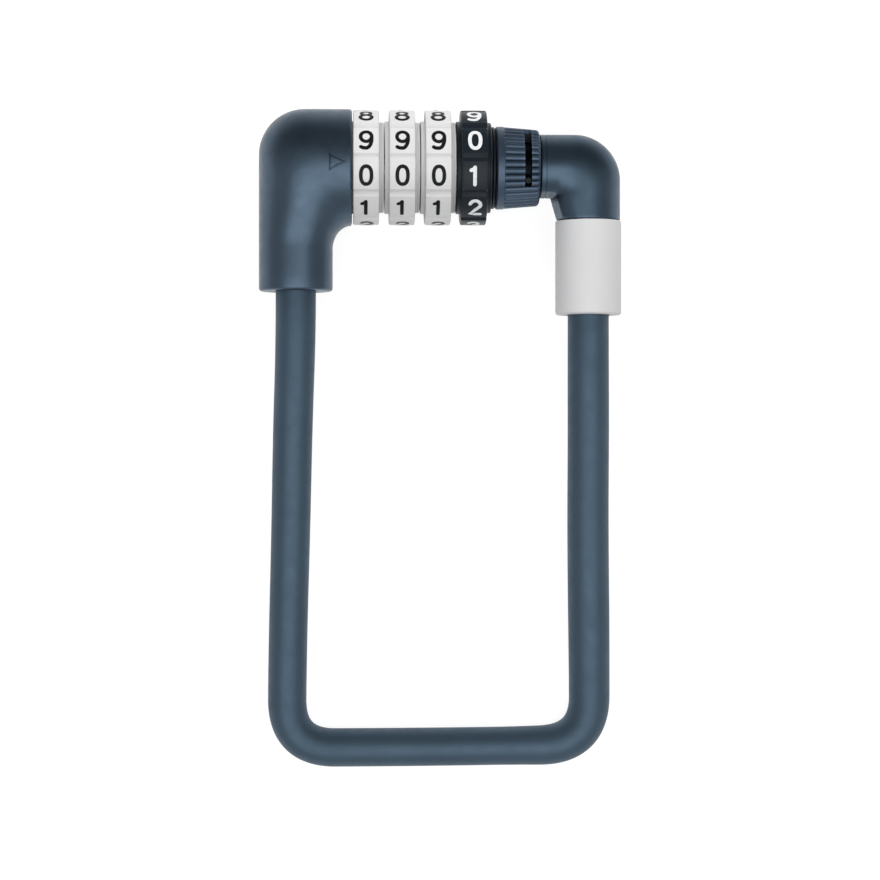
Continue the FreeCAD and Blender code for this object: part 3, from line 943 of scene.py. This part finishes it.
@dataclass
class NumberPrinter:
    """Lays raised printed numbers on the pads of a dial."""

    half_stroke: float = 0.455
    proud: float = 0.05
    end_steps: int = 5
    end_width: float = 0.04
    profile: tuple[Pair, ...] = (
        (1.0, -0.6), (1.0, 0.5), (0.94, 0.9), (0.84, 1.0),
        (-0.84, 1.0), (-0.94, 0.9), (-1.0, 0.5), (-1.0, -0.6),
    )

    def lay(self, line: list[Pair], closed: bool, pad: Pad) -> tuple[list[Vector], list[Face]]:
        """Makes one flat-topped stroke along a line.

        Args:
            line: The stroke's middle points.
            closed: Whether the line closes on itself.
            pad: The pad that it lies on.

        Returns:
            The stroke's corners and faces.
        """
        spots = [(x, y, 1.0) for x, y in line] if closed else self.round_ends(line)
        count = len(spots)
        points = []
        for i, (x, y, size) in enumerate(spots):
            before = spots[i - 1] if closed or i else spots[0]
            after = spots[(i + 1) % count] if closed or i < count - 1 else spots[-1]
            way_x, way_y = after[0] - before[0], after[1] - before[1]
            length = math.hypot(way_x, way_y) or 1.0
            side_x, side_y = -way_y / length, way_x / length
            for share, rise in self.profile:
                aside = self.half_stroke * size * share
                points.append(pad.point(x + side_x * aside, y + side_y * aside, self.proud * rise))
        return points, loft_faces(count, len(self.profile), closed)

    def round_ends(self, line: list[Pair]) -> list[Place]:
        """Adds a round end at each end of an open line.

        Args:
            line: The line's points.

        Returns:
            The spots of the line and of its ends, each with a share of the stroke's width.
        """
        spots = [(x, y, 1.0) for x, y in line]
        for end in (0, -1):
            x, y = line[end]
            near_x, near_y = line[1] if end == 0 else line[-2]
            length = math.hypot(x - near_x, y - near_y)
            way_x, way_y = (x - near_x) / length, (y - near_y) / length
            cap = []
            for i in range(1, self.end_steps + 1):
                turn = math.pi / 2 * i / self.end_steps
                reach = self.half_stroke * math.sin(turn)
                width = max(self.end_width, math.cos(turn))
                cap.append((x + way_x * reach, y + way_y * reach, width))
            spots = list(reversed(cap)) + spots if end == 0 else spots + cap
        return spots


@dataclass
class NumberDial:
    """A dial with ten pads, a hub each side, and its ten printed numbers.

    Each hub has a radius and a width. The seam is a fine groove round the right hub, whose
    corners are a place and a depth each.
    """

    index: int
    setting: int
    finish: Finish
    paint: Finish
    slot: Slot
    radius: float = 14.25
    width: float = 6.4
    pitch: float = 8.9
    first: float = 0.3
    pads: int = 10
    pad_angle: float = 28.0
    pad_steps: int = 8
    pad_round: float = 0.1
    groove: float = 0.5
    draft: float = 3.2
    chamfer: float = 0.35
    chamfer_knee: float = 0.3
    left_hub: Pair = (11.5, 1.1)
    right_hub: Pair = (11.25, 1.2)
    hub_round: float = 0.18
    seam: float = 0.66
    seam_corners: tuple[Pair, ...] = ((-0.06, 0), (-0.05, 0.12), (0.05, 0.12), (0.06, 0))
    bore: float = 9.9
    reading: float = 13.5

    def outline(self, inset: float) -> list[Pair]:
        """Gives the (angle, radius) corners of pads and grooves, this much further in."""
        corners = []
        half = self.pad_angle / 2
        step = 360 / self.pads
        floor = self.radius - self.groove - inset
        for i in range(self.pads):
            middle = self.reading + step * i
            for j in range(self.pad_steps + 1):
                angle = middle - half + self.pad_angle * j / self.pad_steps
                corners.append((angle, self.radius - inset))
            corners.append((middle + half + self.draft, floor))
            corners.append((middle + step - half - self.draft, floor))
        return corners

    def round_at(self, x: float, radius: float) -> Ring:
        """Gives a round ring with as many corners as the pads' outline has."""
        return [AXIS.polar(x, radius, angle) for angle, _ in self.outline(0)]

    def pads_at(self, x: float, inset: float) -> Ring:
        """Gives a ring of pads and grooves, this much further in."""
        return [AXIS.polar(x, radius, angle) for angle, radius in self.outline(inset)]

    def rings(self) -> list[Ring]:
        """Gives the rings of the dial, from its bore over its outside and back."""
        low = self.first + self.index * self.pitch
        high = low + self.width
        (left_r, left_width), (right_r, right_width) = self.left_hub, self.right_hub
        left, right = low - left_width, high + right_width
        edge, cut = self.hub_round, self.chamfer
        knee = cut * self.chamfer_knee
        before = [(left, self.bore), (left, left_r - edge), (left + edge, left_r), (low, left_r)]
        pads = [(low, cut), (low + knee, knee), (low + cut, 0)]
        pads += [(high - cut, 0), (high - knee, knee), (high, cut)]
        after = [(high, right_r)]
        after += [(high + self.seam + off, right_r - dip) for off, dip in self.seam_corners]
        after += [(right - edge, right_r), (right, right_r - edge), (right, self.bore)]
        rings = [self.round_at(*spot) for spot in before] + [self.pads_at(*spot) for spot in pads]
        return rings + [self.round_at(*spot) for spot in after]

    def numbers(self) -> tuple[list[Vector], list[Face]]:
        """Gives the corners and faces of all ten numbers."""
        printer = NumberPrinter()
        middle = self.first + self.index * self.pitch + self.width / 2
        points: list[Vector] = []
        faces: list[Face] = []
        for number, lines in enumerate(number_lines()):
            angle = self.reading + 360 / self.pads * (number - self.setting)
            for line, closed in lines:
                more, sheet = printer.lay(line, closed, Pad(middle, self.radius, angle))
                shift = len(points)
                points += more
                faces += [tuple(shift + k for k in face) for face in sheet]
        return points, faces

    def build(self) -> None:
        """Makes the dial and its numbers."""
        name = "dial_%d" % (self.index + 1)
        body = Body[name.upper()]
        dial = MAKER.loft("number_" + name, self.rings(), self.finish, sharp=25)
        MAKER.soften(dial, self.pad_round, segments=2)
        MAKER.fix(dial, body, [name], self.slot)
        points, faces = self.numbers()
        numbers = MAKER.piece(name + "_numbers", points, faces, self.paint, sharp=60)
        MAKER.fix(numbers, body, [], self.slot)


@dataclass
class MouthRing:
    """The thin black ring pressed on the spindle's end."""

    start: float = 34.8
    end: float = 35.5
    radius: float = 10.2
    bore: float = 5.52
    edge: float = 0.25

    def build(self) -> None:
        """Makes the ring with rounded edges."""
        near = rounded_step(self.start, self.start + self.edge, self.radius, self.edge)
        far = rounded_step(self.end, self.end - self.edge, self.radius, self.edge)
        pairs = [(self.start, self.bore), *near, *reversed(far), (self.end, self.bore)]
        rings = [turned_ring(x, radius) for x, radius in pairs]
        ring = MAKER.loft("mouth_ring", rings, MOUTH_FINISH)
        MAKER.fix(ring, Body.BARREL, ["mouth_cap"], Slot.MOUTH)


@dataclass
class CodeCollar:
    """The fluted collar that sets the code, with its slot.

    Its front edge is a length and a drop in radius. The flutes run in and out over two lengths,
    and keep a share of their depth at the back end.
    """

    start: float = 35.7
    length: float = 11.1
    radius: float = 10.3
    end_radius: float = 9.55
    shoulder_radius: float = 8.3
    front_edge: Pair = (0.4, 0.35)
    band: float = 2.0
    band_step: float = 0.1
    shoulder: float = 1.1
    bore: float = 6.58
    ribs: int = 36
    per_rib: int = 10
    groove: float = 0.5
    groove_power: float = 0.7
    run_in: float = 0.7
    run_out: float = 0.9
    kept_depth: float = 0.35
    front_places: tuple[float, ...] = (0, 0.08, 0.2, 0.4, 1.0, 1.8)
    places_before_slot: tuple[float, ...] = (3.9, 5.2, 6.3)
    places_after_slot: tuple[float, ...] = (9.4, 9.9)
    run_in_step: float = 0.12
    fine_places: int = 8
    slot_x: Pair = (7.025, 8.775)
    slot_angle: Pair = (-73.0, 35.8)

    def angles(self) -> list[float]:
        """Gives the angles of the grid, two of them moved to the slot's ends."""
        count = self.ribs * self.per_rib
        angles = [360 * i / count - 180 for i in range(count)]
        for end in self.slot_angle:
            nearest = min(range(count), key=lambda i: abs(angles[i] - end))
            angles[nearest] = end
        return angles

    def places(self) -> list[float]:
        """Gives the grid's places along the collar, from its front end."""
        count = self.fine_places
        starts = [self.band + self.run_in_step * i for i in range(count)]
        back = self.length - self.shoulder
        rounding = [back + self.shoulder * i / (count - 1) for i in range(count)]
        slot = [*self.places_before_slot, *self.slot_x, *self.places_after_slot]
        return [*self.front_places, *starts, *slot, *rounding]

    def height(self, along: float, angle: float) -> float:
        """Gives the collar's radius.

        Args:
            along: The place along it, from its front end.
            angle: The angle round it, in degrees.

        Returns:
            The radius in millimetres.
        """
        edge, drop = self.front_edge
        if along < edge:
            return self.radius - drop * (1 - along / edge)
        if along <= self.band:
            return self.radius
        back = self.length - self.shoulder
        if along <= back:
            share = (along - self.band) / (back - self.band)
            step = self.band_step
            crest = self.radius - step + (self.end_radius - self.radius + step) * share
        else:
            share = (along - back) / self.shoulder
            fall = 1 - math.sqrt(max(0, 1 - share ** 2))
            crest = self.end_radius - (self.end_radius - self.shoulder_radius) * fall
        dip = 1 - abs(math.cos(math.radians(angle * self.ribs / 2))) ** self.groove_power
        fade = min(1, max(0, (along - self.band) / self.run_in))
        fade_end = min(1, max(0, (self.length - along) / self.run_out))
        kept = self.kept_depth + (1 - self.kept_depth) * fade_end
        return crest - self.groove * dip * math.sqrt(fade) * kept

    def faces(self) -> list[Face]:
        """Gives the faces of the outer and the inner grid and of the rims, but for the slot's."""
        angles, places = self.angles(), self.places()
        rows, sides = len(places), len(angles)
        row = places.index(self.slot_x[0])
        first, last = (angles.index(end) for end in self.slot_angle)
        shift = rows * sides
        faces = []
        for i in range(rows - 1):
            for j in range(sides):
                if i == row and first <= j < last:
                    continue
                k = (j + 1) % sides
                low, high = i * sides, (i + 1) * sides
                faces.append((low + j, low + k, high + k, high + j))
                faces.append((shift + low + j, shift + high + j, shift + high + k, shift + low + k))
        ends = (0, rows - 1)
        rims = [(i * sides + j, i * sides + (j + 1) % sides) for i in ends for j in range(sides)]
        for i in (row, row + 1):
            rims += [(i * sides + j, i * sides + j + 1) for j in range(first, last)]
        rims += [(row * sides + j, (row + 1) * sides + j) for j in (first, last)]
        return faces + [(a, b, shift + b, shift + a) for a, b in rims]

    def build(self) -> None:
        """Makes the collar, leaving its slot open."""
        grid = [(x, angle) for x in self.places() for angle in self.angles()]
        points = [AXIS.polar(self.start + x, self.height(x, angle), angle) for x, angle in grid]
        points += [AXIS.polar(self.start + x, self.bore, angle) for x, angle in grid]
        collar = MAKER.piece("code_collar", points, self.faces(), COLLAR_FINISH, sharp=40)
        MAKER.fix(collar, Body.COLLAR, ["code_change_collar"], Slot.ELBOW)


@dataclass
class PlugElbow:
    """The elbow cover of the plug, with a crease at its inner corner, and the sleeve.

    The seam is a fine groove, whose corners are a place from the start and a radius each.
    """

    start: float = 46.9
    radius: float = 8.0
    rise: float = 0.45
    leg_x: float = 59.15
    crease_x: float = 2.4
    crease_r: float = 0.4
    corner_r: float = 11.5
    drop: float = 13.0
    core: float = 5.3
    core_depth: float = 0.6
    edge: float = 0.3
    seam: tuple[Pair, ...] = ((1.2, 8.0), (1.26, 7.9), (1.36, 7.9), (1.42, 8.0), (1.9, 8.0))
    lean: float = 0.1
    facet: float = 38.0
    bend_steps: int = 56
    leg_shares: tuple[float, ...] = (0.3, 0.6, 0.9, 0.96)
    foot_round: float = 0.12
    sleeve_hole: float = 6.6
    channel: tuple[Pair, ...] = ((59.15, -6.0), (57.65, -1.5), (53.15, 0.0))
    channel_radius: float = 4.5
    sleeve_radius: float = 8.25
    sleeve_top: float = -13.2
    sleeve_bottom: float = -36.7
    sleeve_run: float = 8.0
    sleeve_edges: Pair = (0.35, 0.6)
    cable_hole: float = 5.35
    hole_chamfer: float = 0.3
    lip: float = 1.9

    def leg(self, top: Ring, foot: Ring) -> list[Ring]:
        """Gives the rings from the bend's last to the leg's foot, which is drawn in a little."""
        middle = AXIS.point(self.leg_x, -self.drop, 0)
        size = (self.radius - self.foot_round) / self.radius
        rings = [[a.lerp(b, share) for a, b in zip(top, foot)] for share in self.leg_shares]
        return rings + [[middle + (p - middle) * size for p in foot]]

    def cover(self) -> None:
        """Makes the elbow cover."""
        form = ElbowForm(
            pivot_x=self.start + self.crease_x, pivot_y=self.rise - self.radius - self.crease_r,
            outward=1, inner_x=self.crease_r, inner_y=self.crease_r,
            side=self.leg_x + self.radius, top=self.rise + self.radius, corner_r=self.corner_r,
            start_depth=self.radius, end_depth=self.radius, lean=self.lean, facet=self.facet,
        )
        away, side = Vector((0, 1, 0)), Vector((1, 0, 0))
        x, foot = self.leg_x, -self.drop
        core = [(self.start + self.core_depth, 0, self.core), (self.start, 0, self.core)]
        pairs = rounded_step(self.start, self.start + self.edge, self.radius, self.edge)
        pairs += [(self.start + off, radius) for off, radius in self.seam]
        rings = form.discs(away, core + [(place, self.rise, r) for place, r in pairs])
        rings += form.bend(self.bend_steps)
        rings += self.leg(rings[-1], form.discs(side, [(x, foot, self.radius)])[0])
        hole = [(x, foot, self.sleeve_hole), (x, foot + self.core_depth, self.sleeve_hole)]
        rings += form.discs(side, hole) + form.channel(self.channel, self.channel_radius)
        cover = MAKER.loft("elbow_cover", rings, ELBOW_FINISH, sharp=32)
        MAKER.fix(cover, Body.PLUG, ["plug_cover"], Slot.ELBOW)

    def sleeve(self) -> None:
        """Makes the light sleeve with softly rounded ends."""
        low, high, hole = self.sleeve_bottom, self.sleeve_top, self.cable_hole
        edge, foot = self.sleeve_edges
        pairs = [(high - self.core_depth, self.sleeve_hole), (high, self.sleeve_hole)]
        pairs += rounded_step(high, high - edge, self.sleeve_radius, edge)
        pairs += [(high - self.sleeve_run, self.sleeve_radius)]
        pairs += [(low + self.sleeve_run, self.sleeve_radius)]
        pairs += reversed(rounded_step(low, low + foot, self.sleeve_radius, foot, steps=6))
        bevel = self.hole_chamfer
        pairs += [(low, hole + bevel), (low + bevel, hole), (low + self.lip, hole)]
        rings = OvalForm().discs(Vector((1, 0, 0)), [(self.leg_x, y, r) for y, r in pairs])
        sleeve = MAKER.loft("cable_sleeve_grey", rings, SLEEVE_FINISH)
        MAKER.fix(sleeve, Body.PLUG, ["cable_sleeve"], Slot.SLEEVE)


BOX_FACES = ((0, 1, 2, 3), (4, 5, 6, 7), (0, 1, 5, 4), (1, 2, 6, 5), (2, 3, 7, 6), (3, 0, 4, 7))


@dataclass
class LockingPin:
    """The round pin with four lugs that the plug pushes through the dials.

    Its tip and the neck after each lug are pairs: a place from the tip or from the lug's
    front, and how much smaller the radius is there.
    """

    tip: float = -2.65
    end: float = 52.65
    radius: float = 3.6
    middle: float = 0.3
    tip_form: tuple[Pair, ...] = ((0, 0.9), (0.25, 0.65), (1.3, 0))
    neck_form: tuple[Pair, ...] = ((3.6, 0), (3.8, 0.2), (5.4, 0.2), (5.6, 0))
    sides: int = 64
    lugs: int = 4
    lug_radii: Pair = (3.2, 6.55)
    lug_width: float = 2.0
    lug_length: float = 2.0
    lug_round: float = 0.25
    first_lug: float = 0.95
    pitch: float = 8.9

    def build(self) -> None:
        """Makes the pin with a tapered tip, and its lugs."""
        lugs = [self.first_lug + i * self.pitch for i in range(self.lugs)]
        forms = [(self.tip, self.tip_form)] + [(lug, self.neck_form) for lug in lugs]
        pairs = [(self.tip, self.middle)]
        for start, form in forms:
            pairs += [(start + off, self.radius - dip) for off, dip in form]
        pairs += [(self.end, self.radius), (self.end, self.middle)]
        rings = [turned_ring(x, radius, self.sides) for x, radius in pairs]
        pin = MAKER.loft("locking_pin_turned", rings, TURNED_STEEL, closed=False)
        MAKER.fix(pin, Body.PLUG, ["locking_pin"], Slot.STEEL)
        for i, low in enumerate(lugs):
            self.lug("lug_%d" % (i + 1), low, low + self.lug_length)

    def lug(self, name: str, low: float, high: float) -> None:
        """Makes one lug.

        Args:
            name: Its name.
            low: Where it begins along the dial axis.
            high: Where it ends.
        """
        half = self.lug_width / 2
        corners = ((low, -half), (high, -half), (high, half), (low, half))
        points = [AXIS.point(x, y, z) for y in self.lug_radii for x, z in corners]
        lug = MAKER.piece(name, points, BOX_FACES, TURNED_STEEL)
        MAKER.soften(lug, self.lug_round)
        MAKER.fix(lug, Body.PLUG, [], Slot.STEEL)


@dataclass
class LoopCable:
    """The stiff sheathed cable from the housing, round the loop, to the sleeve.

    The route's points are in millimetres beside the dial axis. The widths are pairs of a
    share of the length and a share of the diameter: the sheath is a little thinner on the
    left and along the bottom than it is on the right, as in the photograph.
    """

    diameter: float = 10.0
    length: float = 0.292
    hidden_end: float = 1.4
    route: tuple[Place, ...] = (
        (-14.0, -30.9, 0.0),
        (-14.0, -42.5, 0.0),
        (-14.8, -64.2, -2.1),
        (-15.4, -90.7, -6.1),
        (-16.3, -121.3, -9.3),
        (-16.5, -145.9, -9.5),
        (8.0, -145.9, -9.5),
        (34.7, -145.7, -9.4),
        (60.3, -145.3, -9.3),
        (60.2, -120.8, -9.1),
        (59.6, -90.7, -6.1),
        (59.4, -68.0, -2.3),
        (59.15, -48.5, 0.0),
        (59.15, -36.7, 0.0),
    )
    widths: tuple[Pair, ...] = (
        (0.0, 1.005), (0.1, 0.99), (0.3, 0.975), (0.42, 0.97), (0.56, 0.965),
        (0.64, 1.03), (0.75, 1.05), (0.9, 1.04), (1.0, 1.03),
    )
    blend_x: Pair = (-8.0, 52.0)
    blend_y: float = -120.0
    curve_steps: int = 24
    least_step: float = 0.0002
    sides: int = 48

    def centreline(self) -> list[Vector]:
        """Gives the points along the cable's own smooth spline."""
        curve = bpy.data.curves.new("cable_line", "CURVE")
        curve.dimensions = "3D"
        spline = curve.splines.new("NURBS")
        spline.points.add(len(self.route) - 1)
        for point, place in zip(spline.points, self.route):
            point.co = (*AXIS.point(*place), 1)
        spline.order_u = 3
        spline.use_endpoint_u = True
        spline.resolution_u = self.curve_steps
        holder = add_object("cable_line", curve)
        graph = bpy.context.evaluated_depsgraph_get()
        mesh = bpy.data.meshes.new_from_object(holder.evaluated_get(graph))
        points = [v.co.copy() for v in mesh.vertices]
        bpy.data.objects.remove(holder)
        bpy.data.meshes.remove(mesh)
        clear = [points[0]]
        for point in points[1:]:
            if (point - clear[-1]).length > self.least_step:
                clear.append(point)
        hidden = Vector((0, self.hidden_end * MM, 0))
        return [clear[0] + hidden] + clear + [clear[-1] + hidden]

    def width_at(self, share: float) -> float:
        """Gives how thick the sheath is at a share of the cable's length."""
        for (start, low), (end, high) in zip(self.widths, self.widths[1:]):
            if share <= end:
                part = (share - start) / (end - start)
                part = part * part * (3 - 2 * part)
                return low + (high - low) * part
        return self.widths[-1][1]

    def rings(self, line: list[Vector]) -> list[Ring]:
        """Gives the rings of the sheath along its centreline."""
        run = [0.0]
        for a, b in zip(line, line[1:]):
            run.append(run[-1] + (b - a).length)
        LOG.info("cable is %.1f mm long", run[-1] / MM)
        rings = []
        side = Vector((0, 0, 1))
        for i, point in enumerate(line):
            ahead = line[min(i + 1, len(line) - 1)] - line[max(i - 1, 0)]
            ahead.normalize()
            side = (side - ahead * side.dot(ahead)).normalized()
            across = ahead.cross(side)
            radius = self.diameter / 2 * MM * self.width_at(run[i] / run[-1])
            turns = [2 * math.pi * j / self.sides for j in range(self.sides)]
            ways = [side * math.cos(turn) + across * math.sin(turn) for turn in turns]
            rings.append([point + way * radius for way in ways])
        return rings

    def build(self) -> None:
        """Makes the sheath and hides the imported cable."""
        line = self.centreline()
        cable = MAKER.loft("cable_sheath", self.rings(line), SHEATH_FINISH, closed=False)
        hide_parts("cable")
        start, end = (tuple(AXIS.point(x, self.blend_y, 0)) for x in self.blend_x)
        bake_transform(cable)
        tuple(start)
        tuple(end)
        tuple(AXIS.point(*self.route[0]))
        [tuple(p) for p in line]


@dataclass
class InnerMetal:
    """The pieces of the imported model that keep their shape, and what each is made of."""

    finishes: dict[str, Finish] = field(default_factory=lambda: {
        "barrel_core": CAST_ZINC, "plug_core": BLACK_ZINC,
        "code_ring_1": CAST_ZINC, "code_ring_2": CAST_ZINC,
        "code_ring_3": CAST_ZINC, "code_ring_4": CAST_ZINC,
        "spindle_tube": TURNED_STEEL, "spindle_key": ROLLED_STEEL, "detent_spring": ROLLED_STEEL,
        "barrel_wire_end": ROPE_STEEL, "plug_wire_end": ROPE_STEEL,
        "barrel_ferrule": ROLLED_STEEL, "plug_ferrule": ROLLED_STEEL,
        "barrel_ferrule_clip": ROLLED_STEEL, "plug_ferrule_clip": ROLLED_STEEL,
        "locking_pin_cross_pin": TURNED_STEEL, "collar_guide_pin": TURNED_BRASS,
    })

    def dress(self) -> None:
        """Gives each piece its material."""
        for node, finish in self.finishes.items():
            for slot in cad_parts[node].material_slots:
                slot.material = MAKER.material(finish)
            LOG.info("%s is dressed in %s", node, finish.name)


@dataclass
class Studio:
    """White floor and room, soft lamps and the photograph's camera.

    The ceiling, the horizon and the floor's fade each map directions or places to a level of
    light: the levels come first, and then where they start and end. The camera sees the floor
    shine with its glow. The grey is what it throws back to the camera and to reflections, and
    the bounce is what it throws back to all else.
    """

    middle: Place = (22.0, -68.0, 0.0)
    distance: float = 625.0
    view: float = 220.0
    sensor: float = 36.0
    yaw: float = 1.9
    clip: Pair = (0.01, 20.0)
    fill: float = 0.28
    ceiling: Span = (0.5, 0.03, 0.1, 0.55)
    horizon: Span = (1.0, 0.0, 0.0, 0.08)
    floor_half: float = 6.0
    floor_drop: float = 0.0001
    floor_fade: Span = (0.85, 0.1, 0.045, 0.15)
    floor_glow: float = 0.85
    floor_grey: float = 0.3
    floor_bounce: float = 0.8
    lamps: tuple[tuple[str, Place, Pair, float, bool], ...] = (
        ("overhead_softbox", (110.0, -500.0, 1400.0), (2100.0, 1300.0), 14.2, True),
        ("key_behind", (20.0, 560.0, 420.0), (420.0, 420.0), 2.8, False),
    )

    def camera(self) -> None:
        """Sets up the camera."""
        turn = math.radians(self.yaw)
        away = Vector((-math.sin(turn), 0, math.cos(turn)))
        data = bpy.data.cameras.new("photo_camera")
        data.sensor_width = self.sensor
        data.lens = self.sensor * self.distance / self.view
        data.clip_start, data.clip_end = self.clip
        holder = add_object("photo_camera", data)
        holder.location = AXIS.point(*self.middle) + away * (self.distance * MM)
        holder.rotation_euler = (0, -turn, 0)
        bpy.context.scene.camera = holder

    def lamp(self, name: str, place: Place, size: Pair, power: float, mirrored: bool) -> None:
        """Hangs one soft lamp that faces the lock.

        Args:
            name: The lamp's name.
            place: Where it hangs, in millimetres beside the dial axis.
            size: Its width and its length in millimetres.
            power: Its power in watts.
            mirrored: Whether glossy surfaces mirror it.
        """
        data = bpy.data.lights.new(name, "AREA")
        data.shape = "RECTANGLE"
        data.size, data.size_y = size[0] * MM, size[1] * MM
        data.energy = power
        holder = add_object(name, data)
        spot = AXIS.point(*place)
        holder.location = spot
        aim = AXIS.point(*self.middle) - spot
        holder.rotation_euler = aim.to_track_quat("-Z", "Y").to_euler()
        holder.visible_glossy = mirrored

    def sweep(self) -> None:
        """Lays the white floor that the lock lies on.

        The camera sees it evenly white, and reflections see it fade behind the lock.
        """
        half, z = self.floor_half, -self.floor_drop
        points = [(-half, -half, z), (half, -half, z), (half, half, z), (-half, half, z)]
        mesh = bpy.data.meshes.new("white_floor")
        mesh.from_pydata(points, [], [(0, 1, 2, 3)])
        floor = add_object("white_floor", mesh)
        nodes = MaterialNodes("white_sweep")
        nodes.tree.nodes.remove(nodes.shader)
        rays = nodes.node("LightPath").outputs
        along = nodes.node("SeparateXYZ", {0: nodes.place}).outputs["Y"]
        fade = nodes.spread(along, *self.floor_fade)
        glow = nodes.level(rays["Is Camera Ray"], fade, self.floor_glow)
        paper, pale = (
            nodes.node("BsdfDiffuse", {"Color": (level, level, level, 1)})
            for level in (self.floor_bounce, self.floor_grey)
        )
        lit = nodes.node("AddShader", {0: pale, 1: nodes.node("Emission", {"Strength": glow})})
        eyes = {0: rays["Is Camera Ray"], 1: rays["Is Glossy Ray"]}
        seen = nodes.node("Math", eyes, operation="MAXIMUM")
        surface = nodes.node("MixShader", {0: seen, 1: paper, 2: lit})
        nodes.feed(nodes.tree.nodes["Material Output"].inputs["Surface"], surface)
        mesh.materials.append(nodes.material)
        floor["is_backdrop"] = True

    def world(self) -> None:
        """Fills the room with soft light.

        The camera sees white everywhere, and rough surfaces get an even fill. Reflections see
        white at the horizon and below it. Above it they see grey on the cable's side and
        nearly black behind the dials.
        """
        world = bpy.data.worlds.new("white_room")
        world.use_nodes = True
        bpy.context.scene.world = world
        nodes = ShaderTree(world.node_tree)
        rays = nodes.node("LightPath").outputs
        way = nodes.node("SeparateXYZ", {0: nodes.node("TexCoord").outputs["Generated"]}).outputs
        above = nodes.spread(way["Y"], *self.ceiling)
        below = nodes.spread(way["Z"], *self.horizon)
        room = nodes.node("Math", {0: above, 1: below}, operation="MAXIMUM")
        mirrored = nodes.level(rays["Is Glossy Ray"], self.fill, room)
        seen = nodes.level(rays["Is Camera Ray"], mirrored, 1.0)
        back = nodes.tree.nodes["Background"]
        nodes.feed(back.inputs["Strength"], seen)
        back.inputs["Color"].default_value = (1, 1, 1, 1)

    def build(self) -> None:
        """Sets up the whole studio."""
        self.camera()
        self.world()
        self.sweep()
        for lamp in self.lamps:
            self.lamp(*lamp)
        bpy.context.scene.view_settings.view_transform = "Standard"


def main() -> None:
    """Builds the studio, then the lock, from the cable to the pieces inside."""
    logging.basicConfig(level=logging.INFO, format="%(name)s: %(message)s")
    Studio().build()
    LoopCable().build()
    BarrelHousing().build()
    for index in range(3):
        NumberDial(index, 0, WHITE_DIAL_FINISH, BLACK_PAINT, Slot.WHITE_DIAL).build()
    NumberDial(3, 1, BLACK_DIAL_FINISH, WHITE_PAINT, Slot.BLACK_DIAL).build()
    MouthRing().build()
    CodeCollar().build()
    elbow = PlugElbow()
    elbow.cover()
    elbow.sleeve()
    LockingPin().build()
    InnerMetal().dress()
    boxes = [[list(corner) for corner in box] for box in (CAD_BOX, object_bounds())]


if __name__ == "__main__":
    main()
